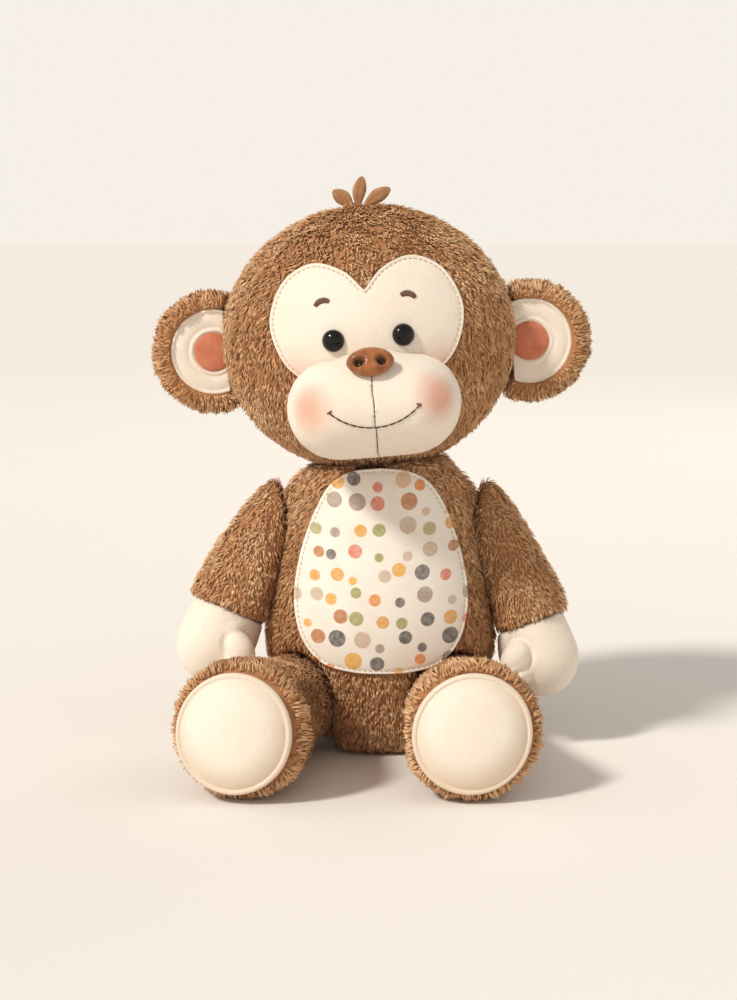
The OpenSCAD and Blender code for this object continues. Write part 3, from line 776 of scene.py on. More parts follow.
def tube(path, radius, sides=6, taper=0.55):
    """Vertices and faces of one closed stitch along the path, thinner at its ends."""
    path = [Vector(p) for p in path]
    vertices = []
    last = len(path) - 1
    for i, p in enumerate(path):
        along = (path[min(i + 1, last)] - path[max(i - 1, 0)]).normalized()
        side = along.orthogonal().normalized()
        up = along.cross(side)
        r = radius * (taper if i in (0, last) else 1.0)
        for k in range(sides):
            w = 2 * math.pi * k / sides
            vertices.append(p + (side * math.cos(w) + up * math.sin(w)) * r)
    return vertices, bands(len(path), sides) + ends_of(len(path), sides)


def merged(parts):
    vertices, faces = [], []
    for v, f in parts:
        start = len(vertices)
        vertices += v
        faces += [tuple(start + i for i in face) for face in f]
    return vertices, faces


def resampled(path, step, closed=False):
    """The path's points a step apart, as (place, normal) pairs."""
    pairs = list(path) + ([path[0]] if closed else [])
    places = np.array([p for p, n in pairs])
    normals = np.array([n for p, n in pairs])
    travelled = np.concatenate([[0], np.cumsum(np.linalg.norm(np.diff(places, axis=0), axis=1))])
    count = max(2, round(travelled[-1] / step))
    at = np.linspace(0, travelled[-1], count + 1)
    place = np.stack([np.interp(at, travelled, places[:, k]) for k in range(3)], 1)
    normal = unit(np.stack([np.interp(at, travelled, normals[:, k]) for k in range(3)], 1))
    return place, normal


def stitched(name, paths, material, pitch=2.6 * MM, share=0.66, radius=0.24 * MM, rise=0.22 * MM,
             sink=0.12 * MM):
    """Running stitches along the paths. Each path is a list of (place, normal) pairs."""
    parts = []
    for path in paths:
        place, normal = resampled(path, pitch / 6)
        total = len(place) - 1
        for start in range(0, total - 3, 6):
            used = [start + share * 6 * k / 4 for k in range(5)]
            points = []
            for k, at in enumerate(used):
                i = min(int(at), total - 1)
                f = at - i
                p = place[i] * (1 - f) + place[i + 1] * f
                n = normal[i]
                lift = -sink if k in (0, 4) else rise
                points.append(Vector(p + n * lift))
            parts.append(tube(points, radius))
    return mesh_object(name, *merged(parts), material)


def ring_path(tree, centre, u, v, angles, reach=0.08):
    """Where rays in one plane, shot at the centre from outside, meet the surface."""
    path = []
    for w in angles:
        out = (u * math.cos(w) + v * math.sin(w)).normalized()
        hit, normal, _, _ = tree.ray_cast(centre + out * reach, -out)
        if hit is not None:
            path.append((hit, normal))
    return path


# ---------- patches ----------


def smooth_line(points, steps=8):
    """Catmull-Rom curve through 2D points."""
    p = [np.array(q, float) for q in points]
    line = []
    for i in range(len(p) - 1):
        a, b, c, d = p[max(i - 1, 0)], p[i], p[i + 1], p[min(i + 2, len(p) - 1)]
        for k in range(steps):
            t = k / steps
            line.append(0.5 * (2 * b + (c - a) * t + (2 * a - 5 * b + 4 * c - d) * t**2
                               + (3 * b - a - 3 * c + d) * t**3))
    line.append(p[-1])
    return line


def both_sides(half):
    """A closed outline from its right half, which runs from the upper to the lower middle."""
    return np.array([*half, *[(-x, z) for x, z in reversed(half[1:-1])]])


def evenly(outline, count):
    loop = np.vstack([outline, outline[:1]])
    travelled = np.concatenate([[0], np.cumsum(np.linalg.norm(np.diff(loop, axis=0), axis=1))])
    at = np.linspace(0, travelled[-1], count, endpoint=False)
    return np.stack([np.interp(at, travelled, loop[:, k]) for k in range(2)], 1)


def inside(points, outline):
    """Which 2D points lie inside a closed outline."""
    x, y = points[:, 0], points[:, 1]
    result = np.zeros(len(points), bool)
    for a, b in zip(outline, np.roll(outline, -1, axis=0)):
        crosses = (a[1] > y) != (b[1] > y)
        slope = (b[0] - a[0]) / (b[1] - a[1] if b[1] != a[1] else 1e-12)
        result ^= crosses & (x < a[0] + (y - a[1]) * slope)
    return result


# Inset from a patch's edge, and height over its body there: turned edge, piping, stitched groove
RIM = [(0.0, -1.3), (0.05, -0.5), (0.3, 0.15), (0.7, 0.42), (1.1, 0.3), (1.45, -0.1), (1.75, -0.32),
       (2.05, -0.2), (2.5, 0.0)]
GROOVE = 6


class Patch:
    """A cloth shape sewn onto a surface that faces -Y in its own frame.
    outline is its closed 2D outline in metres, core the place that its rings shrink to, and
    surface gives the depth and normal of what it is sewn onto."""

    def __init__(self, name, outline, core, place, surface, lift, material, rings=26, around=240,
                 thick=0.9 * MM):
        self.outline = evenly(outline, around)
        self.around = around
        self.matrix = place
        self.surface = surface
        core = np.array(core, float)
        ahead = np.roll(self.outline, -1, axis=0) - np.roll(self.outline, 1, axis=0)
        inward = unit(np.stack([-ahead[:, 1], ahead[:, 0]], 1))
        if (inward * (core - self.outline)).sum() < 0:
            inward = -inward
        flat, heights = [], []
        for inset, height in RIM:
            flat += list(self.outline + inward * inset * MM)
            heights += [lift + height * MM] * around
        body = np.array(flat[-around:])
        for k in range(1, rings):
            share = 1 - k / rings
            flat += list(core + share * (body - core))
            heights += [lift] * around
        flat.append(core)
        heights.append(lift)
        self.flat = np.array(flat)
        vertices = [self.on_surface(q, h) for q, h in zip(flat, heights)]
        rows = len(RIM) + rings - 1
        faces = bands(rows, around) + fan((rows - 1) * around, around, len(vertices) - 1)
        self.object = mesh_object(name, vertices, faces, material)
        toward = self.matrix.to_3x3() @ Vector((0, -1, 0))
        if self.object.data.polygons[-1].normal.dot(toward) < 0:
            self.object.data.flip_normals()
        relax = self.object.modifiers.new("relax", "SMOOTH")
        relax.factor = 0.5
        relax.iterations = 2
        shell = self.object.modifiers.new("shell", "SOLIDIFY")
        shell.thickness = thick
        shell.offset = -1
        applied(self.object)

    def on_surface(self, point, height):
        """Where the cloth lies over a 2D place of its frame."""
        depth, slope = self.surface(*point)
        at = self.matrix @ Vector((point[0], depth, point[1]))
        return at + self.matrix.to_3x3() @ slope * height

    def groove(self, rise=0.0):
        """The stitched groove's places and normals, all the way round."""
        mesh = self.object.data
        start = GROOVE * self.around
        used = [mesh.vertices[i] for i in range(start, start + self.around)]
        return [(v.co + v.normal * rise, v.normal.copy()) for v in used]

    def unfold(self, name, spacing):
        """A UV layer in units of `spacing`, laid out as the cloth was printed before sewing."""
        mesh = self.object.data
        layer = mesh.uv_layers.new(name=name)
        count = len(self.flat)
        corners = np.empty(len(mesh.loops), np.int32)
        mesh.loops.foreach_get("vertex_index", corners)
        uv = self.flat[corners % count] / spacing + PRINT_START
        layer.data.foreach_set("uv", uv.astype(np.float32).ravel())

    def covers(self, places):
        """Which world points lie behind the patch, seen from the front."""
        local = in_frame(self.matrix, places)
        return inside(local[:, [0, 2]], self.outline) & (local[:, 1] < 0)


# ---------- stuffed skins ----------


def rod(centre, axis, half, radius):
    axis = Vector(axis).normalized()
    return tube([Vector(centre) - axis * half, Vector(centre) + axis * half], radius, 12, 1.0)


def seam_cut(skin, name, point, normal, deep=0.9 * MM, wide=1.1 * MM, turn_in=2.2 * MM):
    """The half of the skin on the side the normal points to, with its cut edge rolled in as a seam."""
    point, normal = Vector(point), Vector(normal).normalized()
    shape = bmesh.new()
    shape.from_mesh(skin.data)
    for offset in (2.6 * wide, wide):
        everything = shape.verts[:] + shape.edges[:] + shape.faces[:]
        bmesh.ops.bisect_plane(shape, geom=everything, plane_co=point + normal * offset, plane_no=normal)
    everything = shape.verts[:] + shape.edges[:] + shape.faces[:]
    cut = bmesh.ops.bisect_plane(
        shape, geom=everything, dist=1e-6, plane_co=point, plane_no=normal, clear_inner=True)
    rim = [e for e in cut["geom_cut"] if isinstance(e, bmesh.types.BMEdge) and e.is_valid]
    shape.normal_update()
    rim_vertices = {v for e in rim for v in e.verts}
    inward = {v: -v.normal for v in rim_vertices}
    near = [v for v in shape.verts if abs((v.co - point).dot(normal) - wide) < 1e-6]
    for v in near:
        v.co -= v.normal * deep * 0.18
    for v in rim_vertices:
        v.co += inward[v] * deep
    made = bmesh.ops.extrude_edge_only(shape, edges=rim)
    for v in made["geom"]:
        if isinstance(v, bmesh.types.BMVert):
            nearest = min(rim_vertices, key=lambda r: (r.co - v.co).length_squared)
            v.co += inward[nearest] * turn_in + normal * 0.3 * MM
    bmesh.ops.recalc_face_normals(shape, faces=shape.faces[:])
    mesh = bpy.data.meshes.new(name)
    shape.to_mesh(mesh)
    shape.free()
    return linked(name, mesh)


def lifted_off_floor(obj, lowest=0.05 * MM):
    points = points_of(obj.data)
    points[:, 2] = np.maximum(points[:, 2], lowest)
    set_points(obj.data, points)
    return obj


def waves(points, size, seed):
    """Smooth pseudo-random values from -1 to 1, with lumps of about the given size."""
    rng = np.random.default_rng(seed)
    total = np.zeros(len(points))
    for _ in range(9):
        way = rng.normal(size=3)
        way *= 2 * math.pi / (size * rng.uniform(0.8, 1.7)) / np.linalg.norm(way)
        total += np.sin(points @ way + rng.uniform(0, 2 * math.pi))
    return total / 9 * 1.6


def lumpy(name, nodes, voxel, inset, lumps, size, seed, material):
    """A wad of loose fibre that keeps inside the CAD filling."""
    made = solid_of(name, nodes, voxel)
    points, normals = points_of(made.data), normals_of(made.data)
    depth = inset + lumps * (0.5 + 0.5 * np.clip(waves(points, size, seed), -1, 1))
    set_points(made.data, points - normals * depth[:, None])
    made.data.materials.append(material)
    shade_smooth(made.data)
    return made


def in_frame(place, points):
    """World points in a frame's own coordinates."""
    back = np.array(place.inverted())
    return points @ back[:3, :3].T + back[:3, 3]


def line_frame(start, end):
    """Frame at start whose Z runs to end."""
    way = (Vector(end) - Vector(start)).normalized()
    return Matrix.Translation(start) @ way.to_track_quat("Z", "Y").to_matrix().to_4x4()


def done(piece, body, slot, *nodes, fill=None):
    """Hands the piece over: what it rides on and what it stands for. Its finish (slot) and its stuffing
    (fill) are not used.
    """
    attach(piece, body)
    if nodes:
        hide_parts(*nodes)
    return piece


def in_metres(profile):
    return [(r * MM, h * MM) for r, h in profile]


def lathe(name, profile, place, around, material, squeeze=None):
    """Turned solid: profile is (radius, height) from the axis out and back to it."""
    vertices = []
    for r, h in profile[1:-1]:
        for k in range(around):
            w = 2 * math.pi * k / around
            reach = r * (squeeze(w) if squeeze else 1.0)
            vertices.append(place @ Vector((reach * math.cos(w), reach * math.sin(w), h)))
    rows = len(profile) - 2
    faces = bands(rows, around)
    for end, row in ((profile[0], 0), (profile[-1], rows - 1)):
        vertices.append(place @ Vector((0, 0, end[1])))
        tip = len(vertices) - 1
        for k in range(around):
            j = (k + 1) % around
            a = row * around
            faces.append((tip, a + j, a + k) if row == 0 else (tip, a + k, a + j))
    made = mesh_object(name, vertices, faces, material)
    shape = bmesh.new()
    shape.from_mesh(made.data)
    bmesh.ops.recalc_face_normals(shape, faces=shape.faces[:])
    shape.to_mesh(made.data)
    shape.free()
    return made


# ---------- the scene ----------

make_camera()
make_studio()

PLUSH = plush_material()
CREAM_NAP = cream_material()
COTTON = cotton_material()
FIBRE = fibre_material()
PEACH = felt_material("peach_felt", (0.66, 0.235, 0.135), (0.55, 0.175, 0.095))
LEAF_FELT = felt_material("tuft_felt", (0.50, 0.27, 0.13), (0.33, 0.155, 0.068))
SEAT_CLOTH = felt_material("seat_plush", (0.40, 0.19, 0.083), (0.30, 0.135, 0.057))
DARK_THREAD = thread_material("dark_thread", (0.085, 0.036, 0.018))
TAN_THREAD = thread_material("tan_thread", (0.56, 0.42, 0.29))
EYE_BLACK = gloss_material("eye_black", (0.006, 0.005, 0.005), (0.012, 0.010, 0.008), 0.2, 1.0, 1.26)
PLASTIC = plastic_material("joint_plastic", (0.82, 0.80, 0.74))
PELLETS = plastic_material("pellets", (0.60, 0.66, 0.70))

JOINT_OF = {side: Vector(JOINTS["shoulder_" + side]["pos_m"]) for side in SIGN}
HIP_OF = {side: Vector(JOINTS["hip_" + side]["pos_m"]) for side in SIGN}
NECK = Vector(JOINTS["neck_turn"]["pos_m"])

# Torso, head, muzzle
TORSO_NODES = ["torso_front_panel", "torso_back_panel", "seat_panel", "torso_filling"]
HEAD_NODES = ["head_front_panel", "head_back_panel", "head_filling"]
MUZZLE_NODES = ["muzzle_left_panel", "muzzle_right_panel", "muzzle_filling"]

torso_plugs = [rod(NECK - NECK_AXIS * 2 * MM, NECK_AXIS, 6 * MM, 6 * MM)]
for side, sign in SIGN.items():
    torso_plugs.append(rod(JOINT_OF[side] - Vector((sign * 8, 0, 0)) * MM, (1, 0, 0), 1.8 * MM, 4.5 * MM))
    torso_plugs.append(rod(HIP_OF[side] - Vector((sign * 20.2, 0, 0)) * MM, (1, 0, 0), 2 * MM, 5 * MM))
head_plug = rod(HEAD_CENTRE - NECK_AXIS * 62.6 * MM, NECK_AXIS, 3.2 * MM, 6 * MM)


def skin_of(name, nodes, voxel, inset, cap, pinned=None, plugs=(), rounds=4):
    return swell(solid_of(name, nodes, voxel, plugs, rounds), inset, cap, pinned)


torso_skin = lifted_off_floor(skin_of(
    "torso_skin", TORSO_NODES, 3.4 * MM, 1.0 * MM, 1.2 * MM,
    lambda p: p[2] < 3 * MM or abs(p[1]) < 2 * MM, torso_plugs, 3))
head_skin = skin_of(
    "head_skin", HEAD_NODES, 3.6 * MM, 2.0 * MM, 2.0 * MM,
    lambda p: abs(in_frame(HEAD, p[None])[0, 1]) < 2 * MM, [head_plug])
muzzle_skin = skin_of(
    "muzzle_skin", MUZZLE_NODES, 2.6 * MM, 0.8 * MM, 1.6 * MM,
    lambda p: abs(in_frame(HEAD, p[None])[0, 0]) < 1.4 * MM)
head_tree, torso_tree, muzzle_tree = tree_of(head_skin), tree_of(torso_skin), tree_of(muzzle_skin)

HEAD_HALF_W, HEAD_R = 73 * MM, 66.25 * MM
TORSO_SIDE = np.array([(z, r) for r, z in smooth_line([
    (36, 0), (43.5, 4.5), (47.8, 14), (51.8, 28), (56.5, 43), (57.5, 57), (55.8, 75), (52, 91), (48, 106),
    (45.6, 118), (42, 128), (37, 137), (31.5, 146)])]) * MM


def head_ball(x, z):
    """Depth and normal of the head's front at a place in its own frame."""
    share = max(0.0, 1 - (x / HEAD_HALF_W) ** 2 - (z / HEAD_R) ** 2)
    y = -HEAD_R * math.sqrt(share)
    return y, Vector((x / HEAD_HALF_W**2, y / HEAD_R**2, z / HEAD_R**2)).normalized()


def torso_egg(x, z):
    """Depth and normal of the torso's front."""
    r, above = np.interp([z, z + MM], *TORSO_SIDE.T)
    y = -math.sqrt(max(0.0, r * r - x * x))
    return y, Vector((x / r, y / r, (r - above) / MM)).normalized()


# Face and belly
FACE_HALF = [(0, 25), (9, 34.5), (23, 39), (37, 32), (44.8, 16), (43, 1), (35.5, -11), (20, -20), (0, -23)]
face_outline = both_sides(smooth_line(FACE_HALF)) * MM
FACE_BLUSH = [HEAD @ Vector((s * 33 * MM, head_ball(33 * MM, -9 * MM)[0], -9 * MM)) for s in (-1, 1)]
face = Patch(
    "face_cloth", face_outline, (0, 6 * MM), HEAD, head_ball, 1.3 * MM,
    blush_material("face_nap", FACE_BLUSH, 6 * MM, 13 * MM, 0.55))
done(face.object, "head", "cream_fabric", "face_patch")

belly_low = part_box("belly_patch")[0].z / MM
BELLY_HALF = [(0, 0), (13, 0.5), (28, 4), (38, 15.5), (41.5, 33), (39, 52), (33.5, 70), (28, 82), (21.5, 90),
              (12, 94.6), (0, 96)]
belly_half = smooth_line([(x, z + belly_low) for x, z in reversed(BELLY_HALF)])
belly_outline = both_sides(belly_half) * MM
belly = Patch(
    "belly_cloth", belly_outline, (0, (belly_low + 42) * MM), Matrix.Identity(4), torso_egg, 1.3 * MM,
    COTTON, rings=40, around=280)
belly.unfold("cloth", DOT_SPACING)
done(belly.object, "torso", "dotted_cotton", "belly_patch")

done(stitched("face_stitching", [face.groove(0.05 * MM)], TAN_THREAD), "head", "embroidery")
done(stitched("belly_stitching", [belly.groove(0.05 * MM)], TAN_THREAD), "torso", "embroidery")


def from_ahead(tree, x, z):
    """Where a ray from in front of the head, at x and z in its frame, meets the surface."""
    start = HEAD @ (Vector((x, -200, z)) * MM)
    hit, normal, _, _ = tree.ray_cast(start, HEAD.to_3x3() @ Vector((0, 1, 0)))
    return hit, normal


def on_muzzle(x, z):
    return from_ahead(muzzle_tree, x, z)


# Muzzle: two panels that meet in a seam
CHEEKS = [on_muzzle(s * 30.5, -25)[0] for s in (-1, 1)]
MUZZLE_NAP = blush_material("muzzle_nap", CHEEKS, 11.5 * MM, 7.5 * MM, 0.74)
across = HEAD.to_3x3() @ Vector((1, 0, 0))
for side, sign in SIGN.items():
    panel = seam_cut(muzzle_skin, f"muzzle_{side}", HEAD_CENTRE, across * sign, 0.8 * MM, 0.8 * MM)
    panel.data.materials.append(MUZZLE_NAP)
    done(panel, "head", "cream_fabric", f"muzzle_{side}_panel", fill=0.9)

ahead = HEAD.to_3x3() @ Vector((0, -1, 0))
down = HEAD.to_3x3() @ Vector((0, 0, -1))
muzzle_heart = HEAD @ (Vector((0, -59, -26.3)) * MM)
seam = ring_path(muzzle_tree, muzzle_heart, ahead, down,
                 [math.radians(a) for a in np.arange(-42, 112, 2.0)])
seam_places = np.array([p - n * 0.55 * MM for p, n in seam])
for _ in range(8):
    seam_places[1:-1] = (seam_places[:-2] + 2 * seam_places[1:-1] + seam_places[2:]) / 4
seam_line = [(Vector(p), n) for p, (_, n) in zip(seam_places, seam)]
MOUTH_R, MOUTH_Z = 29, -7
smile = [on_muzzle(MOUTH_R * math.sin(w), MOUTH_Z - MOUTH_R * math.cos(w))
         for w in np.radians(np.arange(-45, 45.1, 1.5))]
ticks = []
for sign in (-1, 1):
    x, z = sign * MOUTH_R * math.sin(math.pi / 4), MOUTH_Z - MOUTH_R * math.cos(math.pi / 4)
    ticks.append([on_muzzle(x + sign * t * 1.5, z - t * 0.9) for t in (-0.9, 0, 0.9)])
mouth = stitched("mouth", [smile], DARK_THREAD, 3.6 * MM, 0.97, 0.42 * MM, 0.26 * MM, 0.0)
done(mouth, "head", "embroidery", "mouth_stitch")
corners = stitched("mouth_corners", ticks, DARK_THREAD, 2.9 * MM, 0.97, 0.42 * MM, 0.3 * MM, 0.0)
done(corners, "head", "embroidery")
done(stitched("muzzle_seam", [seam_line], DARK_THREAD, 2.4 * MM, 0.97, 0.26 * MM, 0.12 * MM, 0.05 * MM),
     "head", "embroidery")

# Nose: a rounded leather triangle with two nostrils, darkened inside by painted shade
NOSE_BROWN = gloss_material("nose_brown", (0.40, 0.145, 0.052), (0.24, 0.078, 0.028), 0.3, 0.4,
                            hollow=(0.026, 0.010, 0.005))
NOSE_LEAN = Matrix.Rotation(math.radians(52), 4, "X")
NOSE_PLACE = HEAD @ Matrix.Translation(Vector((0, -86, -6.5)) * MM) @ NOSE_LEAN


def nose_point(u, v):
    """Place on the nose for the angle u round it and v from its rim (0) to its top (1), and how far
    into a nostril it is."""
    swing = math.cos(v * math.pi / 2)
    x = 11.0 * math.cos(u) * swing**0.75
    y = (6.9 if math.sin(u) > 0 else 7.4) * math.sin(u) * swing**0.75
    x *= 1 - 0.16 * max(0.0, -y / 7.4)
    z = -1.4 + 7.0 * math.sin(v * math.pi / 2) ** 0.8
    deep = 0.0
    for side in (-1, 1):
        gap = math.hypot((x - side * 5.1) / 2.3, (y + 2.0) / 2.0)
        deep = max(deep, math.exp(-gap**2.8))
    z -= 3.4 * deep + 0.45 * math.exp(-(x / 1.1) ** 2) * max(0.0, -y / 7.4)
    return NOSE_PLACE @ (Vector((x, y, z)) * MM), deep


def make_nose():
    around, rows = 96, 34
    spots = [nose_point(2 * math.pi * k / around, i / rows) for i in range(rows) for k in range(around)]
    spots.append(nose_point(0, 1))
    vertices = [place for place, deep in spots]
    faces = bands(rows, around) + fan((rows - 1) * around, around, len(vertices) - 1)
    faces.append(tuple(reversed(range(around))))
    nose = mesh_object("nose_leather", vertices, faces, NOSE_BROWN)
    # Painted shade in the nostrils: the nose darkens with how deep each point lies in one
    hollow = nose.data.attributes.new("hollow", "FLOAT", "POINT")
    hollow.data.foreach_set("value", [min(1.0, 1.25 * deep) for place, deep in spots])
    finer = nose.modifiers.new("finer", "SUBSURF")
    finer.levels = 1
    return applied(nose)


done(make_nose(), "head", "nose_brown", "nose")

# Eyes: glossy domes on the face cloth
face_tree = tree_of(face.object)


def on_face(x, z):
    return from_ahead(face_tree, x, z)


EYE_R = 5.25
dome = [(0, -0.8), (EYE_R * 0.9, -0.8), (EYE_R, -0.2), (EYE_R, 0.35)]
dome += [(EYE_R * math.cos(w), 0.35 + 4.1 * math.sin(w)) for w in np.radians(np.arange(6, 90, 6))]
dome.append((0, 4.45))
for side, sign in SIGN.items():
    hit, normal = on_face(sign * 16.2, 3.4)
    place = Matrix.Translation(hit) @ normal.to_track_quat("Z", "Y").to_matrix().to_4x4()
    eye = lathe(f"eye_dome_{side}", in_metres(dome), place, 64, EYE_BLACK)
    done(eye, "head", "eye_black", f"eye_{side}")

# Brows: satin stitches across a short arc
brow_parts = []
for sign in (-1, 1):
    for a in np.linspace(-46, 46, 21):
        w = math.radians(a)
        turn = math.radians(-sign * 14)
        half = 1.4 * math.cos(w * 0.95)
        ends = []
        for r in np.linspace(4.6 - half, 4.6 + half, 5):
            x, z = r * math.sin(w), r * math.cos(w)
            x, z = x * math.cos(turn) - z * math.sin(turn), x * math.sin(turn) + z * math.cos(turn)
            ends.append(on_face(sign * 19.2 + x, 17.6 + z))
        lifts = (0.0, 0.32, 0.42, 0.32, 0.0)
        brow_parts.append(tube([p + n * h * MM for (p, n), h in zip(ends, lifts)], 0.27 * MM))
BROW_THREAD = thread_material("brow_thread", (0.13, 0.055, 0.026))
done(mesh_object("brow_stitches", *merged(brow_parts), BROW_THREAD), "head", "embroidery", "brows")

# Ears
EAR_PLACES = {LEFT: (-77, 1, 0), RIGHT: (78.8, 1, -8)}
EAR_NAP = cream_material("ear_nap")
LINING = [(0, 2.5), (20.9, 2.5), (21.1, 3.3), (20.8, 4.3), (20.2, 4.6), (19.6, 4.3), (19.1, 3.7),
          (18.6, 3.9), (17.4, 4.3), (14.8, 4.5), (12.9, 4.2), (12.1, 3.8), (11.6, 4.1), (11.0, 4.5),
          (10.3, 4.4), (9.8, 3.7), (8, 3.6), (4, 3.6), (0, 3.6)]
CENTRE = [(0, 3.65), (9.3, 3.65), (9.5, 4.1), (9.1, 4.6), (7.6, 5.0), (4.5, 5.3), (2, 5.4), (0, 5.4)]


def clipped(obj, point, normal):
    """Keeps the part of a closed piece on the side the normal points to, and closes the cut."""
    shape = bmesh.new()
    shape.from_mesh(obj.data)
    cut = bmesh.ops.bisect_plane(shape, geom=shape.verts[:] + shape.edges[:] + shape.faces[:],
                                 plane_co=point, plane_no=normal, clear_inner=True)
    edges = [e for e in cut["geom_cut"] if isinstance(e, bmesh.types.BMEdge)]
    if edges:
        bmesh.ops.holes_fill(shape, edges=edges)
    bmesh.ops.recalc_face_normals(shape, faces=shape.faces[:])
    shape.to_mesh(obj.data)
    shape.free()
    return obj


ear_skins, ear_frames = {}, {}
for side, sign in SIGN.items():
    at = Vector(EAR_PLACES[side])
    ear_frames[side] = HEAD @ Matrix.Translation(at * MM) @ Matrix.Rotation(math.radians(90), 4, "X")
    ear_skins[side] = skin_of(
        f"ear_skin_{side}", [f"ear_{side}_cover", f"ear_{side}_padding"], 2.4 * MM, 0.8 * MM, 1.0 * MM)
    edge = HEAD @ (Vector((sign * math.sqrt(max(0, 1 - (at.z / 66.25) ** 2)) * 70.5, 0, at.z)) * MM)
    for name, profile, material, slot in (
        ("lining", LINING, EAR_NAP, "cream_fabric"),
        ("centre", CENTRE, PEACH, "peach_felt"),
    ):
        disc = lathe(f"ear_{side}_{name}_cloth", in_metres(profile), ear_frames[side], 128, material)
        clipped(disc, edge, across * sign)
        done(disc, "head", slot, f"ear_{side}_{name}")

ARM_TOP = {side: Vector((sign * 50, 2, 124)) * MM for side, sign in SIGN.items()}
HAND_AT = {LEFT: Vector((-82, -17, 51)) * MM, RIGHT: Vector((79, -17, 44)) * MM}
FOOT_AT = {LEFT: Vector((-64, -118, 32)) * MM, RIGHT: Vector((40, -118, 32)) * MM}

# Thumbs: their place beside the hand's middle, towards the toy's middle, in mm
THUMB_AT = {LEFT: Vector((14, -16.5, 0)), RIGHT: Vector((14, -16.5, 2.5))}
THUMB_SIZE = Vector((7.3, 7.2, 9.6)) * MM


def thumb_frame(side):
    """Frame at the thumb's middle, with Z along it, down and towards the toy's middle."""
    inward = -SIGN[side]
    at = THUMB_AT[side]
    way = Vector((inward * 0.5, -0.1, -0.85)).normalized()
    place = HAND_AT[side] + Vector((inward * at.x, at.y, at.z)) * MM
    return Matrix.Translation(place) @ way.to_track_quat("Z", "Y").to_matrix().to_4x4()


def thumb_solid(side):
    place = thumb_frame(side)
    rows, around = 18, 28
    vertices = [place @ Vector((0, 0, -THUMB_SIZE.z))]
    for i in range(1, rows):
        w = math.pi * i / rows
        fat = 1.0 + 0.10 * math.cos(w)
        for k in range(around):
            a = 2 * math.pi * k / around
            vertices.append(place @ Vector((THUMB_SIZE.x * fat * math.sin(w) * math.cos(a),
                                            THUMB_SIZE.y * fat * math.sin(w) * math.sin(a),
                                            -THUMB_SIZE.z * math.cos(w))))
    vertices.append(place @ Vector((0, 0, THUMB_SIZE.z)))
    last = len(vertices) - 1
    faces = [(0, 1 + (k + 1) % around, 1 + k) for k in range(around)]
    faces += bands(rows - 1, around, first=1) + fan(1 + (rows - 2) * around, around, last)
    return vertices, faces


def cleft(obj, side, deep=1.4 * MM, wide=1.2 * MM):
    """Draws the skin in along the line where the thumb meets the hand."""
    points, normals = points_of(obj.data), normals_of(obj.data)
    local = in_frame(thumb_frame(side), points) / np.array(THUMB_SIZE)
    gap = (np.linalg.norm(local, axis=1) - 1.06) * THUMB_SIZE.x
    pull = deep * np.exp(-((gap - 0.7 * MM) / wide) ** 2) * np.clip(1 + gap / (0.6 * MM), 0, 1)
    set_points(obj.data, points - normals * pull[:, None])
    return obj


# Soles: how far one sits past the foot's middle, and its outline, domed inside a turned rim, in mm
SOLE_GAP = 4.6
SOLE_EDGE = [(0, 0), (25.2, 0), (26.6, 0.8)]
SOLE_DOME = [(27.1, 2.2), (26.9, 3.4), (26.2, 4.1), (25.5, 4.2), (24.9, 3.9), (24.4, 3.95), (23.2, 5.0),
             (21, 6.4), (18, 7.8), (14, 9.0), (9, 9.8), (4, 10.2)]
SOLE = [*SOLE_EDGE, *smooth_line(SOLE_DOME, 3), (0, 10.3)]
EGG_TURN = {LEFT: -2.2, RIGHT: -1.9}
# Painted shade: the tan grows with distance from a point above the sole's middle, so it is widest low down
SOLE_LIT_OFFSET = Vector((-2, 0, 4)) * MM
SOLE_SHADE_REACH = 29 * MM


def egg_shape(turn):
    """How far a sole reaches at each angle round it, as a share: slightly egg-shaped."""
    return lambda w: 1.0 + 0.022 * math.cos(w - turn) + 0.016 * math.cos(2 * w + turn)


# Hands, sleeves, legs
hand_skins, sleeve_skins, leg_skins = {}, {}, {}
for side, sign in SIGN.items():
    arm, leg = f"arm_{side}", f"leg_{side}"
    arm_plug = rod(JOINT_OF[side] - Vector((sign * 4.6, 0, 0)) * MM, (1, 0, 0), 1.4 * MM, 3.4 * MM)
    sleeve_skins[side] = skin_of(
        f"sleeve_skin_{side}", [f"arm_{side}_sleeve", f"arm_{side}_filling"], 2.6 * MM, 0.7 * MM, 1.0 * MM,
        None, [arm_plug], 2)
    hand_skins[side] = cleft(skin_of(
        f"hand_skin_{side}", [f"hand_{side}_cover", f"hand_{side}_filling"], 1.5 * MM, 0.5 * MM, 0.6 * MM,
        plugs=[thumb_solid(side)], rounds=2), side)
    leg_plug = rod(HIP_OF[side] - Vector((sign * 16.6, 0, 0)) * MM, (1, 0, 0), 1.3 * MM, 4 * MM)
    leg_skins[side] = lifted_off_floor(skin_of(
        f"leg_skin_{side}", [f"leg_{side}_cover", f"leg_{side}_filling"], 3.2 * MM, 1.8 * MM, 1.8 * MM,
        None, [leg_plug]))
    hand_skins[side].data.materials.append(CREAM_NAP)
    done(hand_skins[side], arm, "cream_fabric", f"hand_{side}_cover", fill=0.9)
    leg_way = line_frame(HIP_OF[side], FOOT_AT[side])
    leg_length = (FOOT_AT[side] - HIP_OF[side]).length / MM
    place = leg_way @ Matrix.Translation((0, 0, (leg_length + SOLE_GAP) * MM))
    # Painted shade on the sole, lightest at a point a little above its dome's top
    lit_centre = place @ Vector((0, 0, 9 * MM)) + SOLE_LIT_OFFSET
    shaded = shaded_sole_material(f"sole_{side}_nap", tuple(lit_centre), SOLE_SHADE_REACH)
    sole = lathe(f"sole_{side}_pad", in_metres(SOLE), place, 160, shaded, egg_shape(EGG_TURN[side]))
    done(sole, leg, "cream_fabric", f"sole_{side}", fill=0.8)

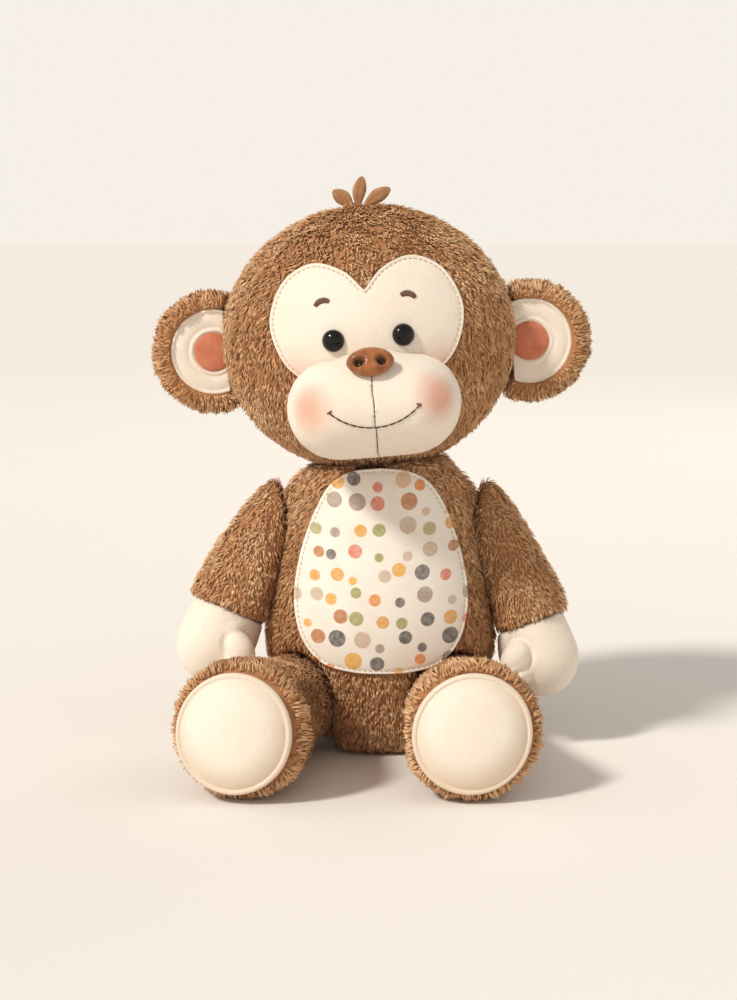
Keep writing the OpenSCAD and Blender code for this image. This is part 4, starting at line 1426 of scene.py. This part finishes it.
tail_skin = lifted_off_floor(skin_of(
    "tail_skin", ["tail_cover", "tail_filling"], 2.4 * MM, 1.2 * MM, 1.2 * MM))

# ---------- pile on every brown piece ----------


def comb_leg(side):
    """Along the leg, and from the sole outwards and back over the foot's rim."""
    place = line_frame(HIP_OF[side], FOOT_AT[side])
    way = np.array(place.to_3x3() @ UP)
    length = (FOOT_AT[side] - HIP_OF[side]).length
    origin = np.array(HIP_OF[side])

    def comb(points, normals):
        local = in_frame(place, points)
        out = points - origin
        out = unit(out - (out @ way)[:, None] * way)
        rim = np.clip((local[:, 2] - length + 10 * MM) / (5 * MM), 0, 1)[:, None]
        return way * (1 - 1.6 * rim) + out * rim

    return comb


def rim_length(side):
    """Longer pile round the sole."""
    place = line_frame(HIP_OF[side], FOOT_AT[side])
    length = (FOOT_AT[side] - HIP_OF[side]).length

    def scale(points):
        local = in_frame(place, points)
        return 1 + 0.12 * np.clip((local[:, 2] - length + 12 * MM) / (10 * MM), 0, 1)

    return scale


CROWN = np.array(HEAD @ (Vector((0, 10, 64)) * MM))


def comb_head(points, normals):
    return points - CROWN


def comb_arm(side):
    """Down the arm, and away from its line over the shoulder."""
    place = line_frame(ARM_TOP[side], HAND_AT[side])
    way = np.array(place.to_3x3() @ UP)
    origin = np.array(ARM_TOP[side])

    def comb(points, normals):
        local = in_frame(place, points)
        out = points - origin
        out = unit(out - (out @ way)[:, None] * way)
        top = np.clip((10 * MM - local[:, 2]) / (14 * MM), 0, 1)[:, None]
        inner = out * np.array([1.0, 1.0, 0.2]) + np.array([0, 0, 0.9])
        return way * (1 - 1.2 * top) + inner * top + 0.1 * normals

    return comb


def comb_down(points, normals):
    return np.repeat(np.array([[0.0, 0.0, -1.0]]), len(points), 0)


def comb_ear(side):
    centre = np.array(ear_frames[side] @ Vector((0, 0, 0)))
    facing = np.array(ear_frames[side].to_3x3() @ UP)

    def comb(points, normals):
        out = points - centre
        out = unit(out - (out @ facing)[:, None] * facing)
        return out + 0.15 * facing

    return comb


TAIL_CENTRE = np.array([26.0, 54.0, 9.4]) * MM


def comb_tail(points, normals):
    out = points - TAIL_CENTRE
    return np.stack([out[:, 1], -out[:, 0], 0 * out[:, 2]], 1)


def bare_head(places, normals):
    return ~face.covers(places)


def bare_torso(places, normals):
    return ~belly.covers(places) & (places[:, 2] > 0.7 * MM)


def off_hollow(side):
    """An ear's pile grows everywhere but on the floor of its hollow."""

    def keep(places, normals):
        local = in_frame(ear_frames[side], places)
        return ~((np.hypot(local[:, 0], local[:, 1]) < 21.4 * MM) & (local[:, 2] > 0))

    return keep


def off_sole(side):
    place = line_frame(HIP_OF[side], FOOT_AT[side])
    length = (FOOT_AT[side] - HIP_OF[side]).length

    def keep(places, normals):
        local = in_frame(place, places)
        return ~((np.hypot(local[:, 0], local[:, 1]) < 26.2 * MM) & (local[:, 2] > length - 4 * MM))

    return keep


hand_trees = {side: tree_of(hand_skins[side]) for side in SIGN}
head_front = seam_cut(head_skin, "head_front_base", HEAD_CENTRE, ahead)
head_back = seam_cut(head_skin, "head_back_base", HEAD_CENTRE, -ahead)
torso_front = seam_cut(torso_skin, "torso_front_base", (0, 0, 0), (0, -1, 0))
torso_back = seam_cut(torso_skin, "torso_back_base", (0, 0, 0), (0, 1, 0))


def turned_tree(skin, joint, degrees):
    """A search tree over the skin as it lies with the joint turned."""
    pivot, axis = Vector(JOINTS[joint]["pos_m"]), Vector(JOINTS[joint]["axis"])
    spin = Matrix.Rotation(math.radians(degrees), 4, axis)
    turn = Matrix.Translation(pivot) @ spin @ Matrix.Translation(-pivot)
    faces = [tuple(f.vertices) for f in skin.data.polygons]
    return BVHTree.FromPolygons([turn @ v.co for v in skin.data.vertices], faces)


torso_passing = [turned_tree(head_skin, "neck_turn", a) for a in (90, 180, 270)]
for side in SIGN:
    torso_passing += [turned_tree(sleeve_skins[side], f"shoulder_{side}", a) for a in (-100, -50, 45, 90)]
    torso_passing += [turned_tree(leg_skins[side], f"hip_{side}", a) for a in (-90, -45)]
belly_tree = tree_of(belly.object)
head_blocks = [muzzle_tree, *(tree_of(ear_skins[s]) for s in SIGN), torso_tree]
torso_blocks = [head_tree, *(tree_of(skins[s]) for skins in (sleeve_skins, leg_skins) for s in SIGN)]
# The largest pieces are thinned a little, so that each stays under 200,000 faces
PIECES = [
    ("head_front", head_front, "head", "head_front_panel",
     Pile(comb_head, density=0.70e6, keep=bare_head), head_blocks, 0.85),
    ("head_back", head_back, "head", "head_back_panel",
     Pile(comb_head, density=0.58e6), head_blocks, 0.85),
    ("torso_front", torso_front, "torso", "torso_front_panel",
     Pile(comb_down, keep=bare_torso), torso_blocks, 0.8),
    ("torso_back", torso_back, "torso", "torso_back_panel",
     Pile(comb_down, density=0.58e6, keep=bare_torso), torso_blocks, 0.8),
]
for side in SIGN:
    PIECES.append((f"ear_{side}", ear_skins[side], "head", f"ear_{side}_cover",
                   Pile(comb_ear(side), length=4.6 * MM, keep=off_hollow(side)), [head_tree], 0.85))
    PIECES.append((f"sleeve_{side}", sleeve_skins[side], f"arm_{side}", f"arm_{side}_sleeve",
                   Pile(comb_arm(side)), [torso_tree, hand_trees[side]], 0.85))
    PIECES.append((f"leg_{side}_plush", leg_skins[side], f"leg_{side}", f"leg_{side}_cover",
                   Pile(comb_leg(side), keep=off_sole(side), scale=rim_length(side)),
                   [torso_tree, belly_tree], 0.8))
PIECES.append(("tail_plush", tail_skin, "tail", "tail_cover",
               Pile(comb_tail, length=4.2 * MM), [torso_tree], 0.85))

for number, (name, skin, body, node, pile, blocks, fill) in enumerate(PIECES):
    passing = torso_passing if body == "torso" else ()
    piece = furred(name, skin, pile, 100 + number, PLUSH, blocks, passing)
    bpy.data.objects.remove(skin)
    done(piece, body, "brown_plush", node, fill=fill)

# Seat: the flat panel under the torso, cut away where the legs turn
seat = solid_of("seat_cloth", ["seat_panel"], 1.1 * MM, rounds=2)
set_points(seat.data, points_of(seat.data) - normals_of(seat.data) * 0.9 * MM)
shade_smooth(seat.data)
seat.data.materials.append(SEAT_CLOTH)
done(lifted_off_floor(seat), "torso", "brown_plush", "seat_panel")

# Hair tuft: three blunt felt leaves, by (lean in degrees, sideways place, length, half width) in mm
LEAVES = [(-36, -2.6, 12.5, 3.9), (7, 0.2, 15.0, 3.5), (54, 3.4, 15.5, 3.6)]


def leaf(lean, aside, length, half_w):
    tilt = Matrix.Rotation(math.radians(lean), 4, "Y")
    place = HEAD @ Matrix.Translation(Vector((aside, 0, 64.4)) * MM) @ tilt
    rows, around = 26, 22
    way = 1 if lean > 0 else -1
    vertices = []
    for i in range(rows + 1):
        t = i / rows
        bulge = math.sin(math.pi * min(1.0, 0.10 + 0.90 * t**0.8) ** 1.35) ** 0.55 if t < 1 else 0.02
        wide = half_w * max(0.02, bulge) * (0.62 + 0.38 * min(1.0, 1.8 * t))
        thick = 1.7 * max(0.02, bulge)
        for k in range(around):
            w = 2 * math.pi * k / around
            crease = 1 - 0.4 * math.exp(-(math.cos(w) / 0.25) ** 2)
            curl = 1.5 * t * t
            x = wide * math.cos(w) + way * curl
            y = thick * math.sin(w) * crease - 0.4 * curl
            vertices.append(place @ (Vector((x, y, length * t)) * MM))
    return vertices, bands(rows + 1, around) + ends_of(rows + 1, around)


leaves = mesh_object("hair_leaves", *merged([leaf(*shape) for shape in LEAVES]), LEAF_FELT)
done(leaves, "head", "tuft_felt", "hair_tuft")

# ---------- what is inside ----------

# Each filling's body, node, voxel size and depth of lumps, in mm
WADS = [("torso", "torso_filling", 5, 1.2), ("head", "head_filling", 5, 1.2),
        ("head", "muzzle_filling", 3.5, 0.8)]
for side in SIGN:
    WADS += [("head", f"ear_{side}_padding", 2, 0.3), (f"arm_{side}", f"arm_{side}_filling", 3, 1.0),
             (f"arm_{side}", f"hand_{side}_filling", 3, 0.8),
             (f"leg_{side}", f"leg_{side}_filling", 3.5, 1.0)]
WADS.append(("tail", "tail_filling", 2, 0.4))
for number, (body, node, voxel, lumps) in enumerate(WADS):
    wad = lumpy(f"{node}_wad", [node], voxel * MM, 0.8 * MM, lumps * MM, 9 * MM, 300 + number, FIBRE)
    done(wad, body, "fibre_fill", node, fill=0.8)

bag = lumpy("bean_bag_cloth", ["bean_bag"], 2.4 * MM, 0.1 * MM, 0.5 * MM, 8 * MM, 400, CREAM_NAP)
done(bag, "torso", "cream_fabric", "bean_bag")


def pellet_heap(low, high, seed, size=1.9 * MM):
    centre, reach = (low + high) / 2, (high.x - low.x) / 2 - size * 1.3
    rng = np.random.default_rng(seed)
    ball = bmesh.new()
    bmesh.ops.create_icosphere(ball, subdivisions=2, radius=size)
    points = np.array([v.co for v in ball.verts])
    faces = [tuple(v.index for v in f.verts) for f in ball.faces]
    ball.free()
    parts, pitch = [], size * 2.15
    steps = range(-5, 6)
    for i in steps:
        for j in steps:
            for k in steps:
                spot = np.array([i + 0.5 * (j % 2), j * 0.87, k * 0.87]) * pitch
                spot = spot + rng.normal(0, 0.05, 3) * size
                if np.linalg.norm(spot) < reach:
                    shape = points * rng.uniform((0.85, 0.85, 0.75), (1, 1, 0.95))
                    parts.append(([Vector(p) + centre for p in shape + spot], faces))
    return merged(parts)


heap = mesh_object("pellet_heap", *pellet_heap(*union_box("bean_pellets"), 7), PELLETS)
done(heap, "torso", "pellets", "bean_pellets")

HARD_NODES = ["neck_washer", "shoulder_washers", "hip_washers", "nose_washer", "eye_washers",
              "neck_joint_disc", "neck_lock_ring"]
HARD_NODES += [f"{j}_{s}_{p}" for j in ("shoulder", "hip") for s in SIGN for p in ("disc", "lock_ring")]
for node in HARD_NODES:
    mesh = frame["nodes"][node].data
    mesh.materials.clear()
    mesh.materials.append(PLASTIC)

for skin in (head_skin, torso_skin, muzzle_skin):
    bpy.data.objects.remove(skin)
